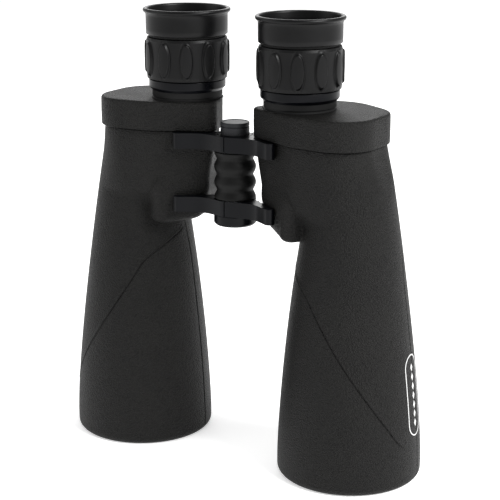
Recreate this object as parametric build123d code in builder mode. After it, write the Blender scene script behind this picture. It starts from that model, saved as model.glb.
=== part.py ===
"""Large astronomy binoculars with Porro prisms and individually focused eyepieces.

Millimetres. The part stands on its objective ends with the eyepieces up: +Z is up, X runs across
the two barrels and +Y is the back. The origin is on the resting plane, in the hinge's plane of
symmetry (X = 0) and in the plane of the optical axes (Y = 0). Every piece of the right half is
modelled once and mirrored for the left half.
"""
from build123d import *
import math
import os

# ---- overall layout -------------------------------------------------------------------------
eye_spacing = 77.7  # between the eyepiece axes with the hinge fully open
beam_shift = 35.84  # how far the two prisms step the beam outwards
hinge_front = 8.5  # hinge axis ahead of the plane of the optical axes
housing_top = 199.5  # underside of the cover caps
upper_lobe_height = 39.5  # prism housing's full outline, down from its top edge
lower_lobe_height = 56.0  # its inner lobe, down from the same edge
inner_lobe_fade = 33.5  # where the inner lobe has run up into the full outline, down from there too
barrel_joint_drop = 3.5  # from the inner lobe down to the joint of barrel and housing

# ---- walls and clearances -------------------------------------------------------------------
rubber = 1.8  # thickness of the rubber armour
metal = 2.0  # thickness of the cast walls
run_gap = 0.08  # radial clearance of a turning or sliding fit
free_gap = 0.35  # between moving pieces that never touch
seat_gap = 0.05  # between fixed pieces that are pushed together

# ---- barrel and objective -------------------------------------------------------------------
mouth_radius = 43.1  # outside of the rubber at the mouth
mouth_round = 4.2
barrel_taper = ((0.19, 1.4), (0.39, 5.4), (0.60, 10.7), (0.80, 17.2), (1.0, 26.0))  # height share, drop
lip_depth = 2.0  # rubber ahead of the metal at the mouth
lip_cover = 1.0  # of the cell by the rubber lip
cell_draw = 0.9  # the cell stands in from the barrel's wall at the mouth
cell_wall = 1.8  # around the recess that takes a push-in dust cap
cell_depth = 25.0
cap_bore_depth = 10.0
lens_step = 0.6  # from the recess in to the lens's edge
lens_ledge = 1.4  # width of the lens's seat
ring_depth = 3.0
crown_edge = 5.0
flint_edge = 4.5
lens_bulge = 2.6
flint_bulge = 0.4

# ---- prism housing --------------------------------------------------------------------------
cap_overhang = 1.8  # the cover cap stands out past the rubber
# circles whose hull is the cover's outline: axis that x is measured from, x, y, radius
outline_circles = (
    ("eyepiece", -19.35, -8.0, 6.0),
    ("objective", -18.69, -1.5, 27.5),
    ("objective", -4.69, -8.5, 22.0),
    ("objective", -4.69, 5.4, 22.0),
    ("objective", -20.69, 6.0, 29.6),
    ("eyepiece", -14.35, 5.5, 6.0),
)
# the same for the inner lobe below
inner_lobe_circles = (
    ("eyepiece", -19.35, -8.0, 6.0),
    ("eyepiece", 5.95, -17.8, 8.0),
    ("objective", -18.69, 16.5, 15.5),
    ("eyepiece", -8.85, 12.0, 12.0),
)
facet_reach = 25.35  # from the eyepiece's axis in to the facet beside the hinge, at the top
facet_y = -8.0
facet_turn = 20.0  # degrees, seen from above
facet_draft = 8.0  # degrees, leaning outwards on the way down
lobe_round = 6.0
tight_round = 0.6  # least rounding of an inner corner
plate_rise = 7.5  # of the cover plate's underside above the rubber's top edge
plate_thick = 4.0
cap_cover = 6.0  # rubber above the cover plate
cap_round = 1.6
shelf_thick = 3.0
shelf_drop = 19.5  # from the rubber's top edge down to the shelf's top
shelf_ledge = 0.8  # of the shelf under the prisms' edges
prism_width = 20.0
prism_gap = 0.4  # between the prisms and their straps
strap_width = 5.0
strap_thick = 0.8
strap_foot = 2.5
prism_flat = 6.0  # width of the ground ridge
screw_radius = 1.5
screw_head = 2.6
screw_length = 7.0
head_depth = 2.0
boss_radius = 3.4
boss_depth = 11.0
# x from the objective's axis, and y
cover_screw_places = ((-22.69, -20.6), (6.31, -18.0), (10.31, 8.0), (-12.69, 27.0))

# ---- eyepieces ------------------------------------------------------------------------------
base_bore = 17.0
base_wall = 2.5
base_height = 23.5  # of the thin part above the neck
base_floor = 1.5  # thickness under the travelling tube
neck_step = 1.7  # the neck stands out past the base above it
neck_height = 5.0
spigot_step = 2.0  # from the base's bore in to the spigot
spigot_wall = 3.0
index_height = 6.5
index_chamfer = 0.8
index_step = 1.2  # from the grip in to the index ring
index_gap = 0.5
ring_wall = 3.3
grip_wall = 1.5
grip_height = 24.5
skirt_depth = 4.2
web_thick = 3.6
lobe_count = 11
lobe_height = 21.0
lobe_width = 7.0
lobe_rise = 1.4
lobe_root = 0.5  # how far a raised oval reaches into the grip
tube_wall = 2.72
tube_drop = 1.0  # from the cover cap's top down to the tube's lower end
groove_depth = 1.5
groove_width = 2.0
groove_rise = 23.0  # above the tube's lower end
flange_thick = 1.6
cup_step = 0.2  # the eyecup stands out past the grip
cup_flare = 1.6
cup_height = 15.4
cup_wall = 1.7
collar_height = 3.0
collar_wall = 1.5
eye_lens_edge = 3.0
field_lens_edge = 4.0
field_lens_rise = 10.0  # above the tube's lower end
field_bulge = 2.5
eye_bulge = 1.8
stop_width = 4.15  # of the field stop's ring
stop_thick = 1.2
flare_height = 3.6

# ---- hinge ----------------------------------------------------------------------------------
knuckle_radius = 12.6
arm_height = 9.3
arm_clearance = 0.3  # from the upper arms up to the cover caps
arm_spacing = 38.6
arm_end_reach = 7.35  # from the eyepiece's axis in to the arm's rounded end
arm_end_y = -22.0
arm_end_radius = 3.0
arm_root_reach = 14.85
arm_root_y = -14.0
stop_gap = 0.6  # between the two arms' front bands when fully open
band_wall = 2.1
back_angle = 125.0  # where a band's back end lies, degrees from +X
axle_radius = 5.5
head_step = 3.5  # the axle's head stands out past its shank
head_height = 4.2
nut_wall = 1.5
nut_height = 3.0
top_cap_wall = 1.6
top_cap_roof = 4.5
top_cap_chamfer = 0.5
foot_cap_wall = 3.75
foot_cap_floor = 2.1
foot_cap_round = 1.2
sleeve_rib = 12.5
sleeve_valley = 10.9
sleeve_pitch = 10.2
socket_radius = 2.55  # minor radius of a quarter-inch tripod thread
socket_depth = 12.0
washer_thick = 0.5
arm_screw_radius = 1.5
arm_screw_reach = (6.5, 13.0)  # along the housing's front, from the hinge end
arm_screw_grip = 3.0

# ---- places worked out from the sizes above -------------------------------------------------
ocular_x = eye_spacing / 2
objective_x = ocular_x + beam_shift
axis_places = {"eyepiece": ocular_x, "objective": objective_x}
outline = tuple((axis_places[axis] + x, y, radius) for axis, x, y, radius in outline_circles)
inner_lobe = tuple((axis_places[axis] + x, y, radius) for axis, x, y, radius in inner_lobe_circles)
screw_places = tuple((objective_x + x, y) for x, y in cover_screw_places)
leg = beam_shift / 2

upper_lobe_floor = housing_top - upper_lobe_height
lower_lobe_floor = housing_top - lower_lobe_height
inner_lobe_top = housing_top - inner_lobe_fade
barrel_top = lower_lobe_floor - barrel_joint_drop
shelf_top = housing_top - shelf_drop
shelf_floor = shelf_top - shelf_thick
plate_floor = housing_top + plate_rise
plate_top = plate_floor + plate_thick
cap_roof = plate_top + cap_cover

cell_radius = mouth_radius - rubber - metal - cell_draw
cell_top = lip_depth + cell_depth
lip_bore = cell_radius - lip_cover
cap_bore = cell_radius - cell_wall
lens_radius = cap_bore - lens_step
lens_seat = lens_radius - lens_ledge

base_radius = base_bore + base_wall
neck_radius = base_radius + neck_step
spigot_radius = base_bore - spigot_step
spigot_bore = spigot_radius - spigot_wall
ring_radius = base_radius + ring_wall
grip_radius = ring_radius + grip_wall
index_radius = grip_radius - index_step
flange_radius = ring_radius
cup_radius = grip_radius + cup_step
cup_rim = cup_radius + cup_flare
tube_radius = base_bore - run_gap
tube_bore = tube_radius - tube_wall

neck_top = cap_roof + neck_height
base_top = neck_top + base_height
index_top = neck_top + index_height
grip_bottom = index_top + index_gap
grip_top = grip_bottom + grip_height
tube_bottom = cap_roof - tube_drop
groove_floor = tube_bottom + groove_rise
flange_floor = grip_top + 2 * seat_gap
flange_top = flange_floor + flange_thick
cup_top = flange_top + cup_height

facet_x = ocular_x - facet_reach
arm_end_x = ocular_x - arm_end_reach
arm_root_x = ocular_x - arm_root_reach
upper_arm_floor = housing_top - arm_clearance - arm_height
lower_arm_floor = upper_arm_floor - arm_spacing
head_radius = axle_radius + head_step
nut_radius = axle_radius + nut_wall
top_cap_radius = nut_radius + top_cap_wall
foot_cap_radius = head_radius + foot_cap_wall
prism_length = beam_shift / math.sqrt(2) + prism_width
upper_prism_centre = (objective_x - leg / 2, leg / 2)
lower_prism_centre = (ocular_x + leg / 2, leg / 2)
hinge_axis = Location((0, -hinge_front, 0))
ocular_axis = Location((ocular_x, 0, 0))
objective_axis = Location((objective_x, 0, 0))

os.makedirs("parts", exist_ok=True)


def write(piece, name):
    """Label one solid or group and write it to its own file."""
    piece.label = name
    export_step(piece, f"parts/{name}.step")


def write_pair(piece, name):
    """Write a piece of the right half, and its mirror image as the left half's."""
    write(piece, f"right_{name}")
    write(mirror(piece, about=Plane.YZ), f"left_{name}")


def ring(axis, bore, radius, floor, top):
    """Plain ring about an upright axis; a bore of zero gives a disc."""
    with BuildPart() as form:
        with BuildSketch(Plane.XY.offset(floor)):
            with Locations(tuple(axis.position)[:2]):
                Circle(radius)
                if bore > 0:
                    Circle(bore, mode=Mode.SUBTRACT)
        extrude(amount=top - floor)
    return form.part


def hull_sketch(circles, inset, height):
    """Hull of a set of circles, drawn in by the inset, on a level plane."""
    with BuildSketch(Plane.XY.offset(height)) as plan:
        with BuildLine():
            for x, y, radius in circles:
                CenterArc((x, y), radius - inset, 0, 360)
        make_hull()
    return plan.sketch


def barrel_form(inset, foot_round):
    """Solid of revolution inside the barrel's outline, drawn in by the inset."""
    foot_radius = mouth_radius - inset
    stations = [(foot_radius - drop, share * housing_top) for share, drop in barrel_taper]
    with BuildPart() as form:
        with BuildSketch(Plane.XZ):
            with BuildLine():
                foot = CenterArc((foot_radius - foot_round, foot_round), foot_round, -90, 90)
                wall = Spline(foot @ 1, *stations, tangents=((0, 1), (-0.22, 1)))
                Polyline(wall @ 1, (0, housing_top), (0, 0), foot @ 0)
            make_face()
        revolve(axis=Axis.Z)
    return objective_axis * form.part


def lobe_form(circles, inset, floor, top, rounding):
    """Housing block: an outline run down to its floor, cut by the drafted facet beside the hinge."""
    facet = Plane(
        origin=(facet_x + inset, facet_y, housing_top),
        z_dir=Vector(math.cos(math.radians(facet_draft)), 0, math.sin(math.radians(facet_draft))).rotate(
            Axis.Z, -facet_turn
        ),
    )
    with BuildPart() as form:
        add(hull_sketch(circles, inset, floor + inset - cap_overhang))
        extrude(amount=top - floor - inset + cap_overhang)
        fillet(form.faces().sort_by(Axis.Z)[0].edges(), rounding)
        split(bisect_by=facet, keep=Keep.TOP)
    return form.part


def housing_form(inset):
    """Whole outside of one half, drawn in by the inset: barrel, full outline and inner lobe."""
    rounding = max(lobe_round - inset, tight_round)
    with BuildPart() as form:
        add(barrel_form(inset, max(mouth_round - inset, tight_round)))
        add(lobe_form(outline, cap_overhang + inset, upper_lobe_floor, housing_top, rounding))
        add(lobe_form(inner_lobe, cap_overhang + inset, lower_lobe_floor, inner_lobe_top, rounding))
    return form.part


def arm_screw_forms(floor, radius):
    """Both screw shanks of one arm, square to the housing's front."""
    first, second = outline[0], outline[1]
    run = Vector(second[0] - first[0], second[1] - first[1])
    lean = math.degrees(math.atan2(run.Y, run.X) - math.asin((second[2] - first[2]) / run.length))
    along = Vector(1, 0).rotate(Axis.Z, lean)
    out = Vector(0, -1).rotate(Axis.Z, lean)
    face = Vector(first[0], first[1]) + out * (first[2] - cap_overhang)
    with BuildPart() as form:
        for reach in arm_screw_reach:
            spot = face + along * reach + Vector(0, 0, floor + arm_height / 2)
            with BuildSketch(Plane(origin=spot - out * (rubber + metal), z_dir=out)):
                Circle(radius)
            extrude(amount=rubber + metal + arm_screw_grip)
    return form.part


def slab(floor, top):
    """Level slab wider than the whole part, for cutting pieces to height."""
    with BuildPart() as form:
        with BuildSketch(Plane.XY.offset(floor)):
            Rectangle(8 * mouth_radius, 8 * mouth_radius)
        extrude(amount=top - floor)
    return form.part


def neck_form(inset, floor, top):
    """Straight run of the housing's outline above its top edge."""
    with BuildPart() as form:
        add(hull_sketch(outline, cap_overhang + inset, floor))
        extrude(amount=top - floor)
    return form.part


def lens_form(axis, radius, floor, top, floor_bulge, top_bulge):
    """Lens with a cylindrical edge; a negative bulge makes that face hollow."""

    def face_arc(edge, bulge, outwards):
        """Half of a spherical face, from its pole on the axis to its edge."""
        ball = (radius**2 + bulge**2) / (2 * abs(bulge))
        half = ball - math.sqrt(ball**2 - radius**2 / 4)
        pole = edge + outwards * bulge
        return (0, pole), (radius / 2, pole - outwards * math.copysign(half, bulge)), (radius, edge)

    with BuildPart() as form:
        with BuildSketch(Plane.XZ):
            with BuildLine():
                lower = ThreePointArc(*face_arc(floor, floor_bulge, -1))
                upper = ThreePointArc(*face_arc(top, top_bulge, 1))
                Line(lower @ 1, upper @ 1)
                Line(lower @ 0, upper @ 0)
            make_face()
        revolve(axis=Axis.Z)
    return axis * form.part


def prism_plane(centre, angle, height):
    """Upright plane along a prism, with its origin on the prism's middle."""
    turn = math.radians(angle)
    return Plane(
        origin=(centre[0], centre[1], height),
        x_dir=(math.cos(turn), math.sin(turn), 0),
        z_dir=(math.sin(turn), -math.cos(turn), 0),
    )


def prism_form(centre, angle, face, side):
    """Roof-shaped prism with rounded ends; side is 1 with its ridge up and -1 with its ridge down."""
    half = prism_length / 2
    flat = prism_flat / 2
    with BuildPart() as form:
        with BuildSketch(prism_plane(centre, angle, face)):
            rise = side * (half - flat)
            Polygon((-half, 0), (half, 0), (flat, rise), (-flat, rise), align=None)
        extrude(amount=prism_width / 2, both=True)
        with BuildSketch(Plane.XY.offset(face)):
            with Locations(centre):
                SlotOverall(prism_length, prism_width, rotation=angle)
        extrude(amount=half, both=True, mode=Mode.INTERSECT)
    return form.part


def strap_form(centre, angle, face, side):
    """Spring band over a prism's ridge, with two feet on the shelf."""
    ridge = (prism_length - prism_flat) / 2 + prism_gap
    inner = prism_width / 2 + prism_gap
    outer = inner + strap_thick
    across = prism_plane(centre, angle + 90, face)
    with BuildPart() as form:
        with BuildSketch(across):
            with BuildLine():
                path = Polyline(
                    (-outer - strap_foot, side * strap_thick / 2),
                    (-outer + strap_thick / 2, side * strap_thick / 2),
                    (-outer + strap_thick / 2, side * (ridge + strap_thick / 2)),
                    (outer - strap_thick / 2, side * (ridge + strap_thick / 2)),
                    (outer - strap_thick / 2, side * strap_thick / 2),
                    (outer + strap_foot, side * strap_thick / 2),
                )
                offset(path, amount=strap_thick / 2 - 0.01, kind=Kind.INTERSECTION)
            make_face()
        extrude(amount=strap_width / 2, both=True)
    return form.part


# ---- armour: one rubber moulding over the barrel and the prism housing ----------------------
skin_form = housing_form(rubber)
core_form = housing_form(rubber + metal)

with BuildPart() as armour:
    add(housing_form(0))
    add(skin_form & slab(lip_depth, housing_top), mode=Mode.SUBTRACT)
    add(ring(objective_axis, 0, lip_bore, 0, lip_depth), mode=Mode.SUBTRACT)
    add(slab(housing_top - free_gap, housing_top + free_gap), mode=Mode.SUBTRACT)
    for height in (upper_arm_floor, lower_arm_floor):
        add(arm_screw_forms(height, arm_screw_radius + seat_gap), mode=Mode.SUBTRACT)
write_pair(armour.part, "armour")

# ---- barrel: conical tube inside the rubber -------------------------------------------------
with BuildPart() as barrel:
    add(barrel_form(rubber + seat_gap, tight_round) & slab(lip_depth, barrel_top - seat_gap))
    bore_limit = ring(objective_axis, 0, cell_radius + seat_gap, 0, barrel_top)
    add(barrel_form(rubber + metal, tight_round) & bore_limit, mode=Mode.SUBTRACT)
    add(ring(objective_axis, 0, cell_radius + seat_gap, lip_depth, cell_top + seat_gap), mode=Mode.SUBTRACT)
write_pair(barrel.part, "barrel")

# ---- prism housing: thin casting with bosses for the cover's screws -------------------------
with BuildPart() as prism_housing:
    add(housing_form(rubber + seat_gap) & slab(barrel_top, housing_top))
    add(neck_form(rubber + seat_gap, housing_top, plate_floor))
    add(core_form & slab(barrel_top, housing_top), mode=Mode.SUBTRACT)
    add(neck_form(rubber + metal, housing_top, plate_floor), mode=Mode.SUBTRACT)
    with BuildSketch(Plane.XY.offset(plate_floor)):
        with Locations(*screw_places):
            Circle(boss_radius)
    extrude(amount=-boss_depth)
    add(
        slab(plate_floor - boss_depth, plate_floor) - neck_form(rubber + seat_gap, 0, plate_floor),
        mode=Mode.SUBTRACT,
    )
    with Locations(*[(x, y, plate_floor) for x, y in screw_places]):
        Cylinder(screw_radius + seat_gap, screw_length, align=(Align.CENTER, Align.CENTER, Align.MAX),
                 mode=Mode.SUBTRACT)
    for height in (upper_arm_floor, lower_arm_floor):
        add(arm_screw_forms(height, arm_screw_radius + seat_gap), mode=Mode.SUBTRACT)
write_pair(prism_housing.part, "prism_housing")

# ---- cover plate and its screws -------------------------------------------------------------
with BuildPart() as cover_plate:
    add(neck_form(rubber + seat_gap, plate_floor, plate_top))
    add(ring(ocular_axis, 0, spigot_radius + seat_gap, plate_floor, plate_top), mode=Mode.SUBTRACT)
    with Locations(*[(x, y, plate_top) for x, y in screw_places]):
        CounterBoreHole(screw_radius + seat_gap, screw_head + seat_gap, head_depth)
write_pair(cover_plate.part, "cover_plate")

with BuildPart() as cover_screws:
    for x, y in screw_places:
        with Locations((x, y, plate_top - head_depth)):
            Cylinder(screw_head, head_depth, align=(Align.CENTER, Align.CENTER, Align.MIN))
            Cylinder(screw_radius, screw_length, align=(Align.CENTER, Align.CENTER, Align.MAX))
write_pair(cover_screws.part, "cover_screws")

# ---- cover cap: the moulded cap over the plate ----------------------------------------------
with BuildPart() as cover_cap:
    add(neck_form(-cap_overhang, housing_top, cap_roof))
    fillet(cover_cap.faces().sort_by(Axis.Z)[-1].edges(), cap_round)
    add(neck_form(rubber, housing_top, plate_top), mode=Mode.SUBTRACT)
    add(ring(ocular_axis, 0, neck_radius + seat_gap, plate_top, cap_roof), mode=Mode.SUBTRACT)
write_pair(cover_cap.part, "cover_cap")

# ---- prism shelf, prisms and straps ---------------------------------------------------------
with BuildPart() as prism_shelf:
    add(core_form & slab(shelf_floor, shelf_top))
    with BuildSketch(Plane.XY.offset(shelf_floor)):
        with Locations((objective_x, 0), (ocular_x, 0), (ocular_x + leg, leg)):
            Circle(prism_width / 2 - shelf_ledge)
    extrude(amount=shelf_thick, mode=Mode.SUBTRACT)
write_pair(prism_shelf.part, "prism_shelf")

with BuildPart() as upper_prism:
    add(prism_form(upper_prism_centre, 135, shelf_top, 1))
write_pair(upper_prism.part, "upper_prism")

with BuildPart() as lower_prism:
    add(prism_form(lower_prism_centre, 45, shelf_floor, -1))
write_pair(lower_prism.part, "lower_prism")

with BuildPart() as prism_straps:
    add(strap_form(upper_prism_centre, 135, shelf_top, 1))
    add(strap_form(lower_prism_centre, 45, shelf_floor, -1))
write_pair(prism_straps.part, "prism_straps")

# ---- objective: cell, cemented pair and retaining ring --------------------------------------
ring_floor = lip_depth + cap_bore_depth
seat_sag = lens_bulge * (1 - (lens_seat / lens_radius) ** 2)  # crown's front face at the ring's bore
crown_floor = ring_floor + ring_depth
flint_floor = crown_floor + crown_edge + seat_gap
flint_top = flint_floor + flint_edge
with BuildPart() as objective_cell:
    add(ring(objective_axis, lens_seat, cell_radius, lip_depth, cell_top))
    add(ring(objective_axis, 0, cap_bore, lip_depth, ring_floor), mode=Mode.SUBTRACT)
    add(ring(objective_axis, 0, lens_radius + seat_gap, ring_floor, flint_top + seat_gap), mode=Mode.SUBTRACT)
write_pair(objective_cell.part, "objective_cell")

with BuildPart() as objective_ring:
    add(ring(objective_axis, lens_seat, lens_radius, ring_floor, crown_floor - seat_gap - seat_sag))
write_pair(objective_ring.part, "objective_ring")

with BuildPart() as crown_lens:
    add(lens_form(objective_axis, lens_radius, crown_floor, crown_floor + crown_edge, lens_bulge, lens_bulge))
write_pair(crown_lens.part, "crown_lens")

with BuildPart() as flint_lens:
    add(lens_form(objective_axis, lens_radius, flint_floor, flint_top, -lens_bulge, flint_bulge))
write_pair(flint_lens.part, "flint_lens")

# ---- eyepiece: fixed base and index ring ----------------------------------------------------
with BuildPart() as eyepiece_base:
    add(ring(ocular_axis, 0, spigot_radius, plate_floor, plate_top))
    add(ring(ocular_axis, 0, neck_radius, plate_top, neck_top))
    add(ring(ocular_axis, 0, base_radius, neck_top, base_top))
    add(ring(ocular_axis, 0, base_bore, plate_top + base_floor, base_top), mode=Mode.SUBTRACT)
    add(ring(ocular_axis, 0, spigot_bore, plate_floor, base_top), mode=Mode.SUBTRACT)
write_pair(eyepiece_base.part, "eyepiece_base")

with BuildPart() as index_ring:
    add(ring(ocular_axis, base_radius + seat_gap, index_radius, neck_top, index_top))
    chamfer(index_ring.edges().filter_by(GeomType.CIRCLE).sort_by(SortBy.RADIUS)[-2:], index_chamfer)
write_pair(index_ring.part, "index_ring")

# ---- eyepiece: turning ring and its grip ----------------------------------------------------
ring_bottom = grip_bottom + skirt_depth
with BuildPart() as focus_ring:
    add(ring(ocular_axis, base_bore, ring_radius, ring_bottom, grip_top))
    add(ring(ocular_axis, 0, base_radius + run_gap, ring_bottom, grip_top - web_thick), mode=Mode.SUBTRACT)
write_pair(focus_ring.part, "focus_ring")

with BuildPart() as focus_grip:
    add(ring(ocular_axis, ring_radius + seat_gap, grip_radius, grip_bottom, grip_top))
    for step in range(lobe_count):
        out = Vector(1, 0).rotate(Axis.Z, step * 360 / lobe_count)
        foot = Vector(ocular_x, 0, (grip_bottom + grip_top) / 2) + out * (grip_radius - lobe_root)
        with BuildSketch(Plane(origin=foot, x_dir=(0, 0, 1), z_dir=out)):
            SlotOverall(lobe_height, lobe_width)
        extrude(amount=lobe_root + lobe_rise)
    add(ring(ocular_axis, 0, index_radius + free_gap, grip_bottom, ring_bottom), mode=Mode.SUBTRACT)
write_pair(focus_grip.part, "focus_grip")

# ---- eyepiece: travelling tube, stop, lenses and seal ---------------------------------------
collar_radius = flange_radius - seat_gap
with BuildPart() as ocular_tube:
    add(ring(ocular_axis, 0, tube_radius, tube_bottom, flange_floor))
    add(ring(ocular_axis, 0, flange_radius, flange_floor, flange_top))
    add(ring(ocular_axis, collar_radius - collar_wall, collar_radius, flange_top, flange_top + collar_height))
    add(ring(ocular_axis, 0, tube_bore, tube_bottom, flange_top), mode=Mode.SUBTRACT)
    add(ring(ocular_axis, tube_radius - groove_depth, tube_radius, groove_floor, groove_floor + groove_width),
        mode=Mode.SUBTRACT)
write_pair(ocular_tube.part, "ocular_tube")

with BuildPart() as ocular_seal:
    with BuildSketch(Plane.XZ):
        with Locations((tube_radius - groove_depth / 2, groove_floor + groove_width / 2)):
            Circle(groove_depth / 2 - seat_gap)
    revolve(axis=Axis.Z)
write_pair(ocular_axis * ocular_seal.part, "ocular_seal")

lens_edge_radius = tube_bore - seat_gap
field_lens_floor = tube_bottom + field_lens_rise
with BuildPart() as field_stop:
    stop_bore = lens_edge_radius - stop_width
    add(ring(ocular_axis, stop_bore, lens_edge_radius, tube_bottom, tube_bottom + stop_thick))
write_pair(field_stop.part, "field_stop")

with BuildPart() as field_lens:
    add(lens_form(ocular_axis, lens_edge_radius, field_lens_floor, field_lens_floor + field_lens_edge,
                  field_bulge, field_bulge))
write_pair(field_lens.part, "field_lens")

eye_lens_floor = flange_top - eye_lens_edge
with BuildPart() as eye_lens:
    add(lens_form(ocular_axis, lens_edge_radius, eye_lens_floor, flange_top, eye_bulge, eye_bulge))
write_pair(eye_lens.part, "eye_lens")

# ---- eyecup: rubber sleeve with a flared bead -----------------------------------------------
cup_bottom = flange_top + seat_gap
bead = (cup_rim - cup_radius + cup_wall) / 2
with BuildPart() as eyecup:
    with BuildSketch(Plane.XZ):
        with BuildLine():
            outside = Polyline((flange_radius, cup_bottom), (cup_radius, cup_bottom),
                               (cup_radius, cup_top - flare_height))
            bead_arc = ThreePointArc((cup_rim, cup_top - bead), (cup_rim - bead, cup_top),
                                     (cup_rim - 2 * bead, cup_top - bead))
            TangentArc(outside @ 1, bead_arc @ 0, tangent=(0, 1))
            Polyline(bead_arc @ 1, (flange_radius, cup_top - flare_height), outside @ 0)
        make_face()
    revolve(axis=Axis.Z)
write_pair(ocular_axis * eyecup.part, "eyecup")

# ---- hinge arms: each has a full-height front band and half of the knuckle ------------------
inner_radius = knuckle_radius - band_wall - free_gap
half_arm = arm_height / 2 - seat_gap
block_inset = cap_overhang - seat_gap
block_floor = upper_lobe_floor - arm_height
housing_block = lobe_form(outline, block_inset, block_floor, housing_top, lobe_round)
lobe_block = lobe_form(inner_lobe, block_inset, lower_lobe_floor, inner_lobe_top, lobe_round)


def arm_sector(floor, radius):
    """Upright wedge round the hinge that one half's arms keep to."""
    start = math.degrees(math.asin(stop_gap / 2 / knuckle_radius)) - 90
    turns = [start + (180 - back_angle - start) * step / 4 for step in range(5)]
    fan = [tuple(Vector(radius, 0).rotate(Axis.Z, turn))[:2] for turn in turns]
    with BuildPart() as form:
        with BuildSketch(Plane.XY.offset(floor)):
            with Locations((0, -hinge_front)):
                Polygon((0, 0), *fan, align=None)
        extrude(amount=arm_height)
    return form.part


def arm_form(floor, ring_floor):
    """Right arm: a plate on the housing's front, a curved band, and a ring round the axle."""
    top = floor + arm_height
    ring_top = ring_floor + half_arm
    half_disc = ring(hinge_axis, 0, inner_radius + free_gap, ring_floor, ring_top)
    with BuildPart() as form:
        with BuildSketch(Plane.XY.offset(floor)):
            with BuildLine():
                CenterArc((0, -hinge_front), knuckle_radius, 0, 360)
                CenterArc((arm_end_x, arm_end_y), arm_end_radius, 0, 360)
                CenterArc((arm_root_x, arm_root_y), arm_end_radius, 0, 360)
            make_hull()
        extrude(amount=arm_height)
        add(arm_sector(floor, 4 * arm_end_x), mode=Mode.INTERSECT)
        add(ring(hinge_axis, 0, inner_radius + free_gap, floor, top), mode=Mode.SUBTRACT)
        add(half_disc & arm_sector(floor, 4 * arm_end_x))
        add(ring(hinge_axis, 0, inner_radius, ring_floor, ring_top))
        add(ring(hinge_axis, 0, axle_radius + run_gap, floor, top), mode=Mode.SUBTRACT)
        add(housing_block, mode=Mode.SUBTRACT)
        add(lobe_block, mode=Mode.SUBTRACT)
        add(arm_screw_forms(floor, arm_screw_radius + seat_gap), mode=Mode.SUBTRACT)
    return form.part


for level, arm_floor in (("upper", upper_arm_floor), ("lower", lower_arm_floor)):
    write(arm_form(arm_floor, arm_floor + arm_height - half_arm), f"right_{level}_arm")
    write(mirror(arm_form(arm_floor, arm_floor), about=Plane.YZ), f"left_{level}_arm")

with BuildPart() as arm_screws:
    for arm_floor in (upper_arm_floor, lower_arm_floor):
        add(arm_screw_forms(arm_floor, arm_screw_radius))
write_pair(arm_screws.part, "arm_screws")

# ---- hinge axle, washers, nut, grip sleeve and end caps -------------------------------------
washer_top = upper_arm_floor - seat_gap
washer_bottom = lower_arm_floor + arm_height + seat_gap
head_top = lower_arm_floor - seat_gap
head_bottom = head_top - head_height
nut_floor = upper_arm_floor + arm_height + seat_gap
with BuildPart() as hinge_axle:
    add(ring(hinge_axis, 0, axle_radius, head_bottom, nut_floor + nut_height))
    add(ring(hinge_axis, 0, head_radius, head_bottom, head_top))
    add(ring(hinge_axis, 0, socket_radius, head_bottom, head_bottom + socket_depth), mode=Mode.SUBTRACT)
write(hinge_axle.part, "hinge_axle")

with BuildPart() as tension_nut:
    add(ring(hinge_axis, axle_radius + seat_gap, nut_radius, nut_floor, nut_floor + nut_height))
write(tension_nut.part, "tension_nut")

with BuildPart() as thrust_washers:
    add(ring(hinge_axis, axle_radius + seat_gap, inner_radius, washer_bottom, washer_bottom + washer_thick))
    add(ring(hinge_axis, axle_radius + seat_gap, inner_radius, washer_top - washer_thick, washer_top))
write(thrust_washers.part, "thrust_washers")

sleeve_floor = washer_bottom + washer_thick
sleeve_top = washer_top - washer_thick
rib_count = round((sleeve_top - sleeve_floor) / sleeve_pitch)
rib_pitch = (sleeve_top - sleeve_floor) / rib_count
with BuildPart() as grip_sleeve:
    with BuildSketch(Plane.XZ):
        with BuildLine():
            waves = [
                (sleeve_valley if step % 2 else sleeve_rib, sleeve_floor + step * rib_pitch / 2)
                for step in range(2 * rib_count + 1)
            ]
            outside = Spline(*waves, tangents=((0, 1), (0, 1)))
            bore = axle_radius + seat_gap
            Polyline(outside @ 1, (bore, sleeve_top), (bore, sleeve_floor), outside @ 0)
        make_face()
    revolve(axis=Axis.Z)
write(hinge_axis * grip_sleeve.part, "grip_sleeve")

with BuildPart() as hinge_top_cap:
    add(ring(hinge_axis, 0, top_cap_radius, nut_floor, nut_floor + nut_height + top_cap_roof))
    chamfer(hinge_top_cap.faces().sort_by(Axis.Z)[-1].edges(), top_cap_chamfer)
    add(ring(hinge_axis, 0, nut_radius + seat_gap, nut_floor, nut_floor + nut_height + seat_gap),
        mode=Mode.SUBTRACT)
write(hinge_top_cap.part, "hinge_top_cap")

with BuildPart() as tripod_cap:
    add(ring(hinge_axis, 0, foot_cap_radius, head_bottom - foot_cap_floor, head_top))
    fillet(tripod_cap.faces().sort_by(Axis.Z)[0].edges(), foot_cap_round)
    add(ring(hinge_axis, 0, head_radius + run_gap, head_bottom - seat_gap, head_top), mode=Mode.SUBTRACT)
write(tripod_cap.part, "tripod_cap")
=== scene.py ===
"""Looks of a pair of large astronomy binoculars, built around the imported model.

Every surface is worked out in millimetres as a numpy grid and stored in metres, in the frame of
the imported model: +Z up, +X towards the right half, +Y to the back. The right half is worked out
and the left half is its mirror image, apart from where each focusing grip has been left.
"""

import logging
import math
from dataclasses import dataclass
from enum import Enum
from typing import Any, Sequence

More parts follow.
